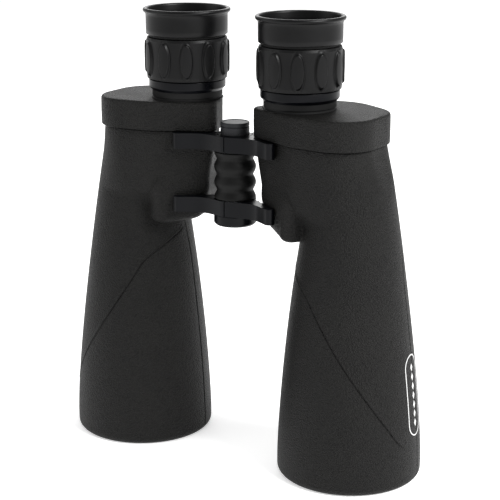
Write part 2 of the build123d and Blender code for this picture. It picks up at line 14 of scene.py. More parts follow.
import bmesh
import bpy
import numpy as np
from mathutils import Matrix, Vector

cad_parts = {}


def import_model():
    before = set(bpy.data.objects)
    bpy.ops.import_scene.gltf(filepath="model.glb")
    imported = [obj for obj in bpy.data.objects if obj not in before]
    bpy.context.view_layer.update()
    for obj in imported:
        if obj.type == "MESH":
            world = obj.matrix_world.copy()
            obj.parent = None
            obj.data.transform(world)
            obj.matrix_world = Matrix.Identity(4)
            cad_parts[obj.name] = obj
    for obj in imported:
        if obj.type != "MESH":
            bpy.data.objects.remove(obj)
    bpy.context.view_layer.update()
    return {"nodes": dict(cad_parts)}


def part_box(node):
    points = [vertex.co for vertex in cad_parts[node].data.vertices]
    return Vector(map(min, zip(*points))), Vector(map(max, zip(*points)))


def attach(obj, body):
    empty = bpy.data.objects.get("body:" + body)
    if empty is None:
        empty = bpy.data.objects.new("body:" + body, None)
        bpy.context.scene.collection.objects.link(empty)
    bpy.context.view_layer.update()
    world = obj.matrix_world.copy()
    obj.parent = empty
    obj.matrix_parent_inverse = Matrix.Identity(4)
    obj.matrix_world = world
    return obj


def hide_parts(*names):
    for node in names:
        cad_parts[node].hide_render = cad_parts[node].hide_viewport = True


MM = 0.001
MERGE_DISTANCE = 1e-7  # metres
TURN = 2 * math.pi
Point = tuple[float, float]
Circle = tuple[float, float, float]

log = logging.getLogger("binoculars")


class Side(Enum):
    """Half of the binoculars; the value is the sign of its X."""

    LEFT = -1
    RIGHT = 1

    @property
    def label(self) -> str:
        """Prefix of this half's nodes."""
        return self.name.lower()


class Pole(Enum):
    """How the first and last rows of a grid are closed."""

    RING = "ring"
    AXIS = "axis"


class Lobe(Enum):
    """Bulge of the prism housing over the barrel."""

    UPPER = "upper"
    LOWER = "lower"


# ---- meshes ---------------------------------------------------------------------------------
def smooth_step(value: np.ndarray | float, low: float, high: float) -> np.ndarray:
    """Rise from 0 at low to 1 at high, level at both ends: 3t squared less 2t cubed.

    Args:
        value: where to read the step.
        low: value at which the rise starts.
        high: value at which it ends.

    Returns:
        The height of the step for each value.
    """
    share = np.clip((np.asarray(value, float) - low) / (high - low), 0.0, 1.0)
    return share * share * (3 - 2 * share)


def smooth_max(first: np.ndarray, second: np.ndarray, reach: float) -> np.ndarray:
    """Larger of two surfaces with a rounded inner corner: max plus reach/4 times (1 - gap/reach) squared.

    Args:
        first: one surface's radii.
        second: the other's.
        reach: difference below which the two are blended.

    Returns:
        The blended radii.
    """
    near = np.maximum(1 - np.abs(first - second) / reach, 0.0)
    return np.maximum(first, second) + near * near * reach / 4


def rounded(points: Sequence[tuple[float, float, float]], steps: int = 5, closed: bool = True) -> np.ndarray:
    """Outline whose corners are arcs, with a support point just outside each arc.

    Args:
        points: corners as (radius, height, rounding); a rounding of 0 stays sharp.
        steps: segments in each arc.
        closed: whether the last corner runs back to the first.

    Returns:
        The outline's points, one row each.
    """
    corners = np.array([p[:2] for p in points], float)
    count = len(points)
    result: list[np.ndarray] = []
    for index, (_, _, rounding) in enumerate(points):
        here = corners[index]
        if rounding <= 0 or (not closed and index in (0, count - 1)):
            result.append(here)
            continue
        before = corners[index - 1] - here
        after = corners[(index + 1) % count] - here
        before_length = float(np.linalg.norm(before))
        after_length = float(np.linalg.norm(after))
        before /= before_length
        after /= after_length
        half = math.acos(float(np.clip(before @ after, -1, 1))) / 2
        reach = min(rounding / math.tan(half), 0.48 * before_length, 0.48 * after_length)
        radius = reach * math.tan(half)
        middle = here + (before + after) / np.linalg.norm(before + after) * radius / math.sin(half)
        start = here + before * reach - middle
        end = here + after * reach - middle
        sweep = math.atan2(start[0] * end[1] - start[1] * end[0], float(start @ end))
        turns = np.linspace(0, sweep, steps + 1)
        arc = middle + np.stack(
            [
                start[0] * np.cos(turns) - start[1] * np.sin(turns),
                start[0] * np.sin(turns) + start[1] * np.cos(turns),
            ],
            -1,
        )
        support = 0.3 * reach
        if reach + support < 0.49 * before_length:
            result.append(here + before * (reach + support))
        result.extend(arc)
        if reach + support < 0.49 * after_length:
            result.append(here + after * (reach + support))
    return np.array(result)


def make_object(name: str, points: np.ndarray, faces: list[list[int]], smooth: bool = True
                ) -> bpy.types.Object:
    """Put vertices in millimetres and faces into a new object, merge doubles and turn faces outwards.

    Args:
        name: the object's name.
        points: vertices, shape (n, 3), in millimetres.
        faces: indices of each face's corners.
        smooth: whether the faces are shaded smooth.

    Returns:
        The new object, at the origin.
    """
    mesh = bpy.data.meshes.new(name)
    mesh.from_pydata((np.asarray(points).reshape(-1, 3) * MM).tolist(), [], faces)
    work = bmesh.new()
    work.from_mesh(mesh)
    bmesh.ops.remove_doubles(work, verts=work.verts, dist=MERGE_DISTANCE)
    bmesh.ops.recalc_face_normals(work, faces=work.faces)
    work.to_mesh(mesh)
    work.free()
    mesh.polygons.foreach_set("use_smooth", [smooth] * len(mesh.polygons))
    piece = bpy.data.objects.new(name, mesh)
    bpy.context.scene.collection.objects.link(piece)
    return piece


def grid_faces(rows: int, columns: int, ring_rows: bool, start: int = 0) -> np.ndarray:
    """Quads of a grid whose columns run round in a ring.

    Args:
        rows: number of rows.
        columns: number of points in each row.
        ring_rows: whether the last row joins the first.
        start: index of the grid's first vertex.

    Returns:
        Array of quads.
    """
    last = rows if ring_rows else rows - 1
    row, column = np.meshgrid(np.arange(last), np.arange(columns), indexing="ij")
    below = (row + 1) % rows
    beside = (column + 1) % columns
    quads = np.stack(
        [row * columns + column, row * columns + beside, below * columns + beside, below * columns + column],
        -1,
    )
    return quads.reshape(-1, 4) + start


def grid_object(name: str, grid: np.ndarray, pole: Pole) -> bpy.types.Object:
    """Closed object from a grid of points whose columns run round in a ring.

    Args:
        name: the object's name.
        grid: points, shape (rows, columns, 3), in millimetres.
        pole: RING joins the last row to the first; AXIS has both end rows on an axis.

    Returns:
        The new object.
    """
    rows, columns = grid.shape[:2]
    return make_object(name, grid, grid_faces(rows, columns, pole is Pole.RING).tolist())


def turned_grid(profile: np.ndarray, centre: Point, columns: int) -> np.ndarray:
    """Points of a profile of (radius, height) turned about an upright axis.

    Args:
        profile: the profile's points.
        centre: the axis, as (x, y).
        columns: number of copies round the axis.

    Returns:
        Grid of points: the radius times the cosine and sine of each turn, and the height.
    """
    turns = np.arange(columns) * TURN / columns
    return np.stack(
        [
            centre[0] + profile[:, :1] * np.cos(turns),
            centre[1] + profile[:, :1] * np.sin(turns),
            np.repeat(profile[:, 1:2], columns, 1),
        ],
        -1,
    )


def turned(name: str, profile: np.ndarray, centre: Point, columns: int = 128, pole: Pole = Pole.RING
           ) -> bpy.types.Object:
    """Object of revolution about an upright axis.

    Args:
        name: the object's name.
        profile: points of (radius, height).
        centre: the axis, as (x, y).
        columns: segments round the axis.
        pole: how the profile is closed.

    Returns:
        The new object.
    """
    return grid_object(name, turned_grid(profile, centre, columns), pole)


def hull_radius(circles: np.ndarray, centre: np.ndarray, turns: np.ndarray, inset: np.ndarray) -> np.ndarray:
    """Distance from a centre to the hull of a set of circles, one row for each level.

    The hull's support in a direction n is the largest of (circle centre . n + radius). A ray from
    the centre along d leaves the hull at the least of (support - inset - centre . n) / (n . d).

    Args:
        circles: shape (levels, circles, 3), each x, y, radius.
        centre: shape (levels, 2).
        turns: angles of the rays, shape (levels, rays).
        inset: how far each level's hull is drawn in, shape (levels,).

    Returns:
        Radii, shape (levels, rays).
    """
    angles = np.linspace(0, TURN, 360, endpoint=False)
    normals = np.stack([np.cos(angles), np.sin(angles)], -1)
    support = (np.einsum("lkc,nc->lkn", circles[:, :, :2], normals) + circles[:, :, 2:3]).max(1)
    room = support - inset[:, None] - centre @ normals.T
    facing = np.cos(turns[:, :, None] - angles[None, None, :])
    reach = np.where(facing > 0.02, room[:, None, :] / np.maximum(facing, 0.02), np.inf)
    return reach.min(-1)


# ---- materials ------------------------------------------------------------------------------
class Value:
    """A shader socket whose Python operators add Math nodes."""

    def __init__(self, tree: bpy.types.NodeTree, socket: bpy.types.NodeSocket) -> None:
        """Wrap one output socket of a tree."""
        self.tree = tree
        self.socket = socket

    def math(self, operation: str, *others: "Value | float", before: bool = False) -> "Value":
        """Add one Math node.

        Args:
            operation: the node's operation.
            others: its other values.
            before: whether the first other value comes ahead of this one.

        Returns:
            The node's result.
        """
        node = self.tree.nodes.new("ShaderNodeMath")
        node.operation = operation
        values: list[Value | float] = [self, *others]
        if before:
            values = [others[0], self, *others[1:]]
        for socket, value in zip(node.inputs, values):
            if isinstance(value, Value):
                self.tree.links.new(value.socket, socket)
            else:
                socket.default_value = value
        return Value(self.tree, node.outputs[0])

    def __add__(self, other: "Value | float") -> "Value":
        """Sum."""
        return self.math("ADD", other)

    __radd__ = __add__

    def __sub__(self, other: "Value | float") -> "Value":
        """Difference."""
        return self.math("SUBTRACT", other)

    def __rsub__(self, other: "Value | float") -> "Value":
        """Difference the other way round."""
        return self.math("SUBTRACT", other, before=True)

    def __mul__(self, other: "Value | float") -> "Value":
        """Product."""
        return self.math("MULTIPLY", other)

    __rmul__ = __mul__

    def clamped(self) -> "Value":
        """This value held between 0 and 1."""
        return self.math("MAXIMUM", 0.0).math("MINIMUM", 1.0)


class Paint:
    """Node tree of one material, with a Principled shader at its end."""

    def __init__(self, name: str, **constants: Any) -> None:
        """Start a material.

        Args:
            name: the material's name.
            constants: values set on the shader's own sockets, with _ for a space in their names.
        """
        self.material = bpy.data.materials.new(name)
        self.material.use_nodes = True
        self.tree = self.material.node_tree
        self.shader = self.tree.nodes["Principled BSDF"]
        for key, value in constants.items():
            self.shader.inputs[key.replace("_", " ")].default_value = value
        self.place = Value(self.tree, self.node("ShaderNodeTexCoord").outputs["Object"])

    def node(self, kind: str, settings: dict[str, Any] | None = None, **sockets: Any) -> bpy.types.Node:
        """Add any node other than Math.

        Args:
            kind: the node's type.
            settings: properties, set first.
            sockets: values or links of its sockets, with _ for a space in their names.

        Returns:
            The node.
        """
        node = self.tree.nodes.new(kind)
        for key, value in (settings or {}).items():
            setattr(node, key, value)
        for key, value in sockets.items():
            socket = node.inputs[key.replace("_", " ")]
            if isinstance(value, Value):
                self.tree.links.new(value.socket, socket)
            else:
                socket.default_value = value
        return node

    def noise(self, size: float, detail: float = 3.0, roughness: float = 0.5) -> Value:
        """Fractal noise over the piece.

        Args:
            size: rough size of its blotches, in metres.
            detail: number of octaves.
            roughness: how strong the finer octaves are.

        Returns:
            A value near 0.5.
        """
        node = self.node("ShaderNodeTexNoise", None, Vector=self.place, Scale=1 / size, Detail=detail,
                         Roughness=roughness)
        return Value(self.tree, node.outputs[0])

    def pebbles(self, size: float, softness: float = 0.35) -> Value:
        """Rounded cells of a moulded grain.

        Args:
            size: distance between the cells, in metres.
            softness: how far neighbouring cells melt together.

        Returns:
            Distance from the middle of the nearest cell.
        """
        node = self.node("ShaderNodeTexVoronoi", {"feature": "SMOOTH_F1"}, Vector=self.place, Scale=1 / size,
                         Smoothness=softness)
        return Value(self.tree, node.outputs["Distance"])

    def blend(self, share: Value, dark: Sequence[float], light: Sequence[float]) -> Value:
        """Colour between two others.

        Args:
            share: 0 for the first and 1 for the second.
            dark: first colour.
            light: second colour.

        Returns:
            The mixed colour.
        """
        node = self.tree.nodes.new("ShaderNodeMix")
        node.data_type = "RGBA"
        node.inputs[6].default_value = (*dark, 1.0)
        node.inputs[7].default_value = (*light, 1.0)
        self.tree.links.new(share.socket, node.inputs[0])
        return Value(self.tree, node.outputs[2])

    def bump(self, height: Value, distance: float, strength: float = 1.0) -> None:
        """Drive the shader's normal by a height.

        Args:
            height: the height, about 0 to 1.
            distance: what a height of 1 stands for, in metres.
            strength: share of the bump that shows.
        """
        node = self.node("ShaderNodeBump", None, Height=height, Distance=distance, Strength=strength)
        self.tree.links.new(node.outputs[0], self.shader.inputs["Normal"])

    def drive(self, socket: str, value: Value) -> None:
        """Link a value to one of the shader's sockets."""
        self.tree.links.new(value.socket, self.shader.inputs[socket])


@dataclass(frozen=True)
class MouldedRubber:
    """Rubber with a moulded pebble grain.

    Args:
        name: the material's name.
        dark: colour in the hollows, a painted shade.
        light: colour on the grain's tops, painted lighter than the hollows as painted light.
        grain: size of the pebbles, in metres.
        depth: height of the pebbles, in metres.
        gloss: roughness of a clean top.
    """

    name: str
    dark: tuple[float, float, float]
    light: tuple[float, float, float]
    grain: float
    depth: float
    gloss: float

    def make(self) -> bpy.types.Material:
        """Build the material: cells with fine noise on them, the grain's shading painted into the colour
        (painted shade in the hollows, painted light on the tops), and broad uneven dulling.

        Returns:
            The material.
        """
        paint = Paint(self.name, Metallic=0.0, Specular_IOR_Level=0.17)
        cells = paint.pebbles(self.grain)
        fine = paint.noise(self.grain * 0.45, 2.0)
        broad = paint.noise(0.028, 3.0)
        # colour follows the grain's height: painted shade in the hollows and painted light on the tops; the
        # broad noise adds uneven tone
        height = (1.0 - cells) * 0.75 + fine * 0.45
        share = (height * 0.9 + broad * 0.5 - 0.55).clamped()
        paint.drive("Base Color", paint.blend(share, self.dark, self.light))
        paint.drive("Roughness", (broad * 0.14 + cells * 0.12 + (self.gloss - 0.1)).clamped())
        paint.bump(height, self.depth)
        return paint.material


@dataclass(frozen=True)
class SatinRubber:
    """Smooth moulded rubber with a faint bloom.

    Args:
        name: the material's name.
        dark: main colour.
        light: colour of the bloom.
        gloss: roughness where it is clean.
    """

    name: str
    dark: tuple[float, float, float]
    light: tuple[float, float, float]
    gloss: float

    def make(self) -> bpy.types.Material:
        """Build the material: broad bloom over a very fine moulded texture.

        Returns:
            The material.
        """
        paint = Paint(self.name, Metallic=0.0, Specular_IOR_Level=0.17)
        broad = paint.noise(0.014, 4.0, 0.6)
        fine = paint.noise(0.0005, 2.0)
        paint.drive("Base Color", paint.blend((broad * 1.6 - 0.3).clamped(), self.dark, self.light))
        paint.drive("Roughness", (broad * 0.16 + fine * 0.06 + (self.gloss - 0.1)).clamped())
        paint.bump(fine, 0.00003)
        return paint.material


@dataclass(frozen=True)
class AnodisedMetal:
    """Bead-blasted and anodised aluminium.

    Args:
        name: the material's name.
        dark: main colour.
        light: colour where the blasting is brighter.
        metallic: share of metal in the reflection.
        gloss: roughness.
        grain: size of the blasted texture, in metres.
    """

    name: str
    dark: tuple[float, float, float]
    light: tuple[float, float, float]
    metallic: float
    gloss: float
    grain: float = 0.0004

    def make(self) -> bpy.types.Material:
        """Build the material: fine blasted grain and a slight handling pattern.

        Returns:
            The material.
        """
        paint = Paint(self.name, Metallic=self.metallic, Specular_IOR_Level=0.13)
        broad = paint.noise(0.01, 3.0)
        fine = paint.noise(self.grain, 2.0)
        share = (broad * 0.8 + fine * 0.5 - 0.15).clamped()
        paint.drive("Base Color", paint.blend(share, self.dark, self.light))
        paint.drive("Roughness", (broad * 0.1 + fine * 0.08 + (self.gloss - 0.09)).clamped())
        paint.bump(fine, 0.000015)
        return paint.material


@dataclass(frozen=True)
class CoatedGlass:
    """Optical glass with an anti-reflection coating.

    Args:
        name: the material's name.
        tint: colour of the glass.
        coat_tint: colour of the coating's reflection.
    """

    name: str
    tint: tuple[float, float, float]
    coat_tint: tuple[float, float, float]

    def make(self) -> bpy.types.Material:
        """Build the material: dark deep glass under a clear coloured coat, with faint dust.

        Returns:
            The material.
        """
        paint = Paint(self.name, Metallic=0.0, Specular_IOR_Level=0.6, Coat_Weight=1.0, Coat_Roughness=0.02,
                      Coat_Tint=(*self.coat_tint, 1.0))
        dust = paint.noise(0.004, 4.0)
        paint.drive("Base Color", paint.blend((dust * 1.4 - 0.5).clamped(), self.tint,
                                              tuple(min(1.0, 1.6 * c + 0.004) for c in self.tint)))
        paint.drive("Roughness", (dust * 0.05 + 0.01).clamped())
        return paint.material


@dataclass(frozen=True)
class BrightInk:
    """Silver ink printed on rubber.

    Args:
        name: the material's name.
        dark: ink where it is thin.
        light: ink where it is whole.
    """

    name: str
    dark: tuple[float, float, float]
    light: tuple[float, float, float]

    def make(self) -> bpy.types.Material:
        """Build the material: ink that is a little uneven over the grain.

        Returns:
            The material.
        """
        paint = Paint(self.name, Metallic=0.25, Specular_IOR_Level=0.5)
        fine = paint.noise(0.0006, 3.0)
        paint.drive("Base Color", paint.blend((fine * 2.0 - 0.4).clamped(), self.dark, self.light))
        paint.drive("Roughness", (fine * 0.2 + 0.3).clamped())
        paint.bump(fine, 0.00002)
        return paint.material


class Finish(Enum):
    """Every finish on the binoculars."""

    # dark and light: painted shade in the grain's hollows and painted light on its tops
    ARMOUR = MouldedRubber(
        "armour_rubber", (0.0012, 0.0011, 0.0010), (0.0118, 0.0115, 0.0103),
        grain=0.00086, depth=0.00075, gloss=0.50,
    )
    GRIP = SatinRubber("grip_rubber", (0.0011, 0.0011, 0.0012), (0.0030, 0.0030, 0.0032), 0.40)
    CUP = SatinRubber("eyecup_rubber", (0.0009, 0.0009, 0.0010), (0.0026, 0.0026, 0.0028), 0.34)
    SLEEVE = SatinRubber("sleeve_rubber", (0.0009, 0.0009, 0.0008), (0.0026, 0.0026, 0.0025), 0.52)
    ANODISED = AnodisedMetal("black_anodised", (0.0009, 0.0010, 0.0015), (0.0026, 0.0029, 0.0042), 0.06, 0.30)
    BLASTED = AnodisedMetal("blasted_cap", (0.016, 0.0165, 0.018), (0.032, 0.0325, 0.035), 0.35, 0.45, 0.0007)
    INSIDE = AnodisedMetal("matt_inside", (0.006, 0.006, 0.006), (0.011, 0.011, 0.011), 0.2, 0.62)
    CASTING = AnodisedMetal("casting", (0.03, 0.03, 0.031), (0.07, 0.07, 0.072), 0.7, 0.5, 0.0012)
    STEEL = AnodisedMetal("plain_steel", (0.35, 0.35, 0.36), (0.55, 0.55, 0.56), 1.0, 0.3, 0.0008)
    LENS = CoatedGlass("coated_lens", (0.004, 0.007, 0.006), (0.45, 0.9, 0.65))
    PRISM = CoatedGlass("prism_glass", (0.30, 0.34, 0.33), (0.9, 0.95, 1.0))
    INK = BrightInk("silver_ink", (0.42, 0.42, 0.42), (0.72, 0.72, 0.71))


class Finishes:
    """Materials made once each and handed out by finish."""

    def __init__(self) -> None:
        """Start with none made."""
        self.made: dict[Finish, bpy.types.Material] = {}

    def of(self, finish: Finish) -> bpy.types.Material:
        """The material of a finish."""
        if finish not in self.made:
            self.made[finish] = finish.value.make()
        return self.made[finish]

    def dress(self, piece: bpy.types.Object, finish: Finish) -> None:
        """Give a piece one finish all over."""
        piece.data.materials.clear()
        piece.data.materials.append(self.of(finish))


@dataclass
class Layout:
    """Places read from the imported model, in millimetres.

    Args:
        ocular_x: right eyepiece's axis.
        objective_x: right barrel's axis.
        hinge_y: the hinge's axis.
        mouth_radius: outside of the armour at the mouth.
        armour_top: top edge of the armour.
        cap_floor: lower edge of the cover cap.
        cap_roof: top of the cover cap.
    """

    ocular_x: float
    objective_x: float
    hinge_y: float
    mouth_radius: float
    armour_top: float
    cap_floor: float
    cap_roof: float

    @classmethod
    def read(cls) -> "Layout":
        """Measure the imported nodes.

        Returns:
            The places.
        """
        index = span("right_index_ring")
        armour = span("right_armour")
        cell = span("right_objective_cell")
        cap = span("right_cover_cap")
        nut = span("hinge_top_cap")
        return cls(
            ocular_x=float(index[:, 0].mean()),
            objective_x=float(cell[:, 0].mean()),
            hinge_y=float(nut[:, 1].mean()),
            mouth_radius=float(armour[1, 1] - armour[0, 1]) / 2,
            armour_top=float(armour[1, 2]),
            cap_floor=float(cap[0, 2]),
            cap_roof=float(cap[1, 2]),
        )


def span(node: str) -> np.ndarray:
    """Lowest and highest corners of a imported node, in millimetres, shape (2, 3)."""
    low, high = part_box(node)
    return np.array([low, high]) / MM


@dataclass
class Shop:
    """What every sub-assembly needs to put its pieces into the scene.

    Args:
        layout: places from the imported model.
        finishes: the materials.
    """

    layout: Layout
    finishes: Finishes

    def add(self, piece: bpy.types.Object, body: str, slot: str, finish: Finish, *nodes: str
            ) -> bpy.types.Object:
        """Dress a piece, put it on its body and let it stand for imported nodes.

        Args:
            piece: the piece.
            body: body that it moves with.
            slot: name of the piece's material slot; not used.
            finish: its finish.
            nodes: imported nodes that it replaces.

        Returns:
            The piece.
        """
        self.finishes.dress(piece, finish)
        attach(piece, body)
        if nodes:
            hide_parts(*nodes)
        log.info("%s: %d faces on %s", piece.name, len(piece.data.polygons), body)
        return piece

    def place(self, name: str, grid: np.ndarray, side: Side, pole: Pole = Pole.RING) -> bpy.types.Object:
        """Object of one half from a grid worked out for the right half.

        Args:
            name: the piece's name without its half.
            grid: points for the right half.
            side: the half.
            pole: how the grid is closed.

        Returns:
            The new object.
        """
        return grid_object(f"{side.label}_{name}", grid * (side.value, 1, 1), pole)


# ---- sub-assemblies -------------------------------------------------------------------------
@dataclass
class Shell:
    """Rubber armour over a barrel and its prism housing, and the cover cap above it.

    Args:
        outline: circles whose hull is the cover cap's outline.
        inner_lobe: circles whose hull is the lower, inner lobe.
        overhang: how far the cap stands out past the armour.
        rubber: thickness of the armour.
        metal: thickness of the prism housing.
        casting_gap: gap between the armour and the prism housing.
        cap_hole: radius of the cover cap's hole for the eyepiece.
        neck_height: rise of the prism housing above the armour.
        upper_floor: height at which the upper lobe starts to draw in.
        upper_slope: how fast it draws in below that, per millimetre.
        upper_blend: reach of its rounded meeting with the barrel.
        lower_floor: height of the lower lobe's underside.
        lower_slope: how fast the lobe draws in below that, per millimetre.
        lower_blend: reach of its rounded meeting with the surfaces beside it.
        lower_round: rounding of its lower edge.
        lower_fade: height at which it has run up into the upper lobe.
        fade_height: height over which it does so.
        fade_rate: how strongly it draws in there, per millimetre squared.
        swallowed: inset by which the barrel has swallowed a lobe.
        inner_limit: circles nearer to the hinge than this lean outwards.
        outer_limit: circles further out than this lean inwards.
        limit_blend: rounding where the shell meets its widest outline.
        edge_round: softness of the upper lobe's lower edge.
        flare: how much wider than the cap's outline the shell may be, per millimetre down.
        flare_growth: how that grows, per square millimetre.
        draft: lean of the facet beside the hinge, per millimetre down.
        draft_top: height at which that lean starts.
        outer_draft: lean of the outer side, per millimetre down.
        heel_top: height at which the heel starts to curve away.
        heel_height: height of the heel's curve.
        heel_reach: how far the heel draws back.
        mouth_round: rounding of the mouth's outer edge.
        lip_bore: radius of the mouth's opening.
        lip_depth: height of the lip ahead of the metal.
        taper_start: height at which the barrel starts to narrow.
        taper_rate: how strongly it narrows.
        taper_power: power of the height in that.
        lean: how far the barrel's axis leans towards the hinge.
        housing_centre: X from which the housing's outline is measured.
        columns: evenly spaced columns of the grid.
        seam_angles: turns of the inner and outer mould seams, in degrees.
        seam_depth: depth of the inner seam.
        seam_share: the outer seam's share of that depth.
        seam_width: half width of a seam.
        seam_top: heights between which the seams run out.
        crease_depth: depth of the moulded crease.
        crease_ridge: how far the low ridge above it stands out.
        ridge_place: height of that ridge above the crease's middle.
        ridge_width: half width of the ridge.
        right_crease: the crease of the right half, as (degrees from the front, height).
        left_crease: the same for the left half.
        crease_width: half width of the crease.
        crease_band: heights of the grid's rows that cross the crease, from its middle.
        crease_ends: degrees between which the crease rises from nothing and sinks to it again.
        crease_top: height that the grid's guide comes back to behind the barrel.
        crease_return: degrees at which it is back there.
        crease_range: lowest and highest heights that the guide may have.
        low_rows: rows of the grid below the crease.
        high_rows: rows between the crease and the lobes.
        lobe_rows: rows across the heel, from there to the lower lobe's top, and above that.
        lobe_foot: height from which the grid is fine enough for the lobes.
        heel_rows_top: height up to which its rows are closest together.
        centre_start: height at which the centre line leaves the barrel's axis.
    """

    outline: tuple[Circle, ...] = (
        (19.5, -8.0, 6.0), (56.0, -1.5, 27.5), (70.0, -8.5, 22.0), (70.0, 5.4, 22.0), (54.0, 6.0, 29.6),
        (24.5, 5.5, 6.0),
    )
    inner_lobe: tuple[Circle, ...] = (
        (19.5, -8.0, 6.0), (44.8, -19.3, 8.8), (56.0, 16.5, 15.5), (30.0, 12.0, 12.0),
    )
    overhang: float = 1.8
    rubber: float = 1.8
    metal: float = 2.0
    casting_gap: float = 0.15
    cap_hole: float = 21.25
    neck_height: float = 7.4
    upper_floor: float = 161.5
    upper_slope: float = 0.95
    upper_blend: float = 5.0
    lower_floor: float = 142.4
    lower_slope: float = 5.0
    lower_blend: float = 8.0
    lower_round: float = 4.5
    lower_fade: float = 166.0
    fade_height: float = 8.0
    fade_rate: float = 0.03
    swallowed: float = 12.0
    inner_limit: float = 40.0
    outer_limit: float = 65.0
    limit_blend: float = 1.5
    edge_round: float = 2.6
    flare: float = 0.19
    flare_growth: float = 0.005
    draft: float = 0.175
    draft_top: float = 190.0
    outer_draft: float = 0.045
    heel_top: float = 152.0
    heel_height: float = 10.8
    heel_reach: float = 15.0
    mouth_round: float = 4.2
    lip_bore: float = 37.4
    lip_depth: float = 2.0
    taper_start: float = 10.0
    taper_rate: float = 0.0109
    taper_power: float = 1.457
    lean: float = 1.15
    housing_centre: float = 58.0
    columns: int = 372
    seam_angles: tuple[float, float] = (172.0, 8.0)
    seam_depth: float = 0.8
    seam_share: float = 0.45
    seam_width: float = 0.45
    seam_top: tuple[float, float] = (134.0, 141.0)
    crease_depth: float = 0.5
    crease_ridge: float = 0.22
    ridge_place: float = 1.5
    ridge_width: float = 0.8
    right_crease: tuple[Point, ...] = (
        (-93.0, 135.0), (-60.0, 127.0), (-36.0, 120.0), (-18.0, 113.0), (2.0, 96.5), (74.0, 24.5),
        (100.0, 24.0),
    )
    left_crease: tuple[Point, ...] = (
        (-93.0, 136.0), (-60.0, 130.0), (-36.0, 119.0), (-11.0, 95.0), (43.0, 41.0), (60.0, 25.0),
        (100.0, 24.0),
    )
    crease_width: float = 0.55
    crease_band: tuple[float, ...] = (-2.2, -1.2, -0.7, -0.35, 0.0, 0.35, 0.7, 1.2, 2.2)
    crease_ends: tuple[Point, Point] = ((-92.0, -84.0), (72.0, 80.0))
    crease_top: float = 135.0
    crease_return: float = 262.0
    crease_range: tuple[float, float] = (22.0, 136.0)
    low_rows: int = 34
    high_rows: int = 32
    lobe_rows: tuple[int, int, int] = (24, 36, 18)
    lobe_foot: float = 141.0
    heel_rows_top: float = 148.0
    centre_start: float = 116.0

    def barrel_radius(self, mouth: float, height: np.ndarray) -> np.ndarray:
        """Barrel's radius: the mouth's, less a rate times a power of the height above the straight start."""
        rise = np.maximum(np.asarray(height, float) - self.taper_start, 0.0)
        return mouth - self.taper_rate * rise**self.taper_power

    def barrel_axis(self, objective_x: float, height: np.ndarray) -> np.ndarray:
        """X of the middle of the barrel's section, which leans a little towards the hinge higher up."""
        return objective_x - self.lean * smooth_step(height, 0.0, 130.0)

    def crease_height(self, degrees: np.ndarray, side: Side) -> np.ndarray:
        """Height of the moulded crease round the barrel.

        The crease runs through its stations, each height averaged over the neighbouring degrees so
        that it bends gently. Behind the outer side it only guides the grid back up to the inner seam.

        Args:
            degrees: angle from the front towards the outer side.
            side: the half; the left one's crease lies lower on the outer side.

        Returns:
            Heights in millimetres.
        """
        places, heights = np.array(self.right_crease if side is Side.RIGHT else self.left_crease).T
        line = np.mean([np.interp(degrees + step, places, heights) for step in (-6, -3, 0, 3, 6)], axis=0)
        foot = heights[-1]
        back = foot + (self.crease_top - foot) * smooth_step(degrees, places[-1], self.crease_return)
        return np.where(degrees > places[-1], back, line)

    def turns(self) -> np.ndarray:
        """Angles of the grid's columns, closer together at the two mould seams.

        Returns:
            Angles in radians, in order.
        """
        even = np.arange(self.columns) * TURN / self.columns
        close = np.radians([0.22, 0.45, 0.7, 1.1])
        extra = [np.radians(a) + s * close for a in self.seam_angles for s in (-1, 1)]
        extra.append(np.radians(self.seam_angles))
        return np.unique(np.concatenate([even, *extra]) % TURN)

    def levels(self, layout: Layout, side: Side) -> tuple[np.ndarray, np.ndarray]:
        """Rows of the outer surface from the mouth to the top, following the crease.

        Args:
            layout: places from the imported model.
            side: the half, whose crease is followed.

        Returns:
            Heights, shape (rows, columns), and the row numbers that cross the crease.
        """
        turns = self.turns()
        degrees = (np.degrees(turns) + 90 + 180) % 360 - 180
        degrees = np.where(degrees < -98, degrees + 360, degrees)
        crease = np.clip(self.crease_height(degrees, side), *self.crease_range)[None, :]
        band = np.array(self.crease_band)[:, None]
        below = np.linspace(0, 1, self.low_rows, endpoint=False)[:, None]
        low = self.mouth_round + (crease + band[0] - self.mouth_round) * below
        high_start = crease + band[-1]
        high = high_start + (self.lobe_foot - high_start) * np.linspace(0, 1, self.high_rows)[1:, None]
        flat = np.ones((1, len(turns)))
        ends = (self.lobe_foot, self.heel_rows_top, self.lower_fade, layout.armour_top - 0.8)
        steps = zip(ends, ends[1:], self.lobe_rows)
        lobes = np.concatenate([np.linspace(foot, top, rows)[1:] for foot, top, rows in steps])
        crossing = self.low_rows + np.arange(len(band))
        return np.concatenate([low, crease + band, high, lobes[:, None] * flat]), crossing

    def lobe_circles(self, lobe: Lobe, level: np.ndarray, armour_top: float) -> np.ndarray:
        """Circles of a lobe's outline at each height.

        The circles beside the hinge lean outwards on the way down, and those on the outer side lean
        inwards. The lower lobe's heel curves away along a quarter of an ellipse.

        Args:
            lobe: the lobe.
            level: heights.
            armour_top: top edge of the armour.

        Returns:
            Circles, shape (levels, circles, 3).
        """
        circles = self.outline if lobe is Lobe.UPPER else self.inner_lobe
        shapes = np.repeat(np.array(circles, float)[None], len(level), 0)
        inner = shapes[:, :, 0] < self.inner_limit
        shift = self.draft * np.maximum(self.draft_top - level, 0.0)
        if lobe is Lobe.LOWER:
            heel = np.clip((self.heel_top - level) / self.heel_height, 0.0, 1.0)
            shift += self.heel_reach * (1 - np.sqrt(1 - heel**2))
        shapes[:, :, 0] += inner * shift[:, None]
        outer = shapes[:, :, 0] > self.outer_limit
        shapes[:, :, 0] -= outer * (self.outer_draft * (armour_top - level))[:, None]
        return shapes

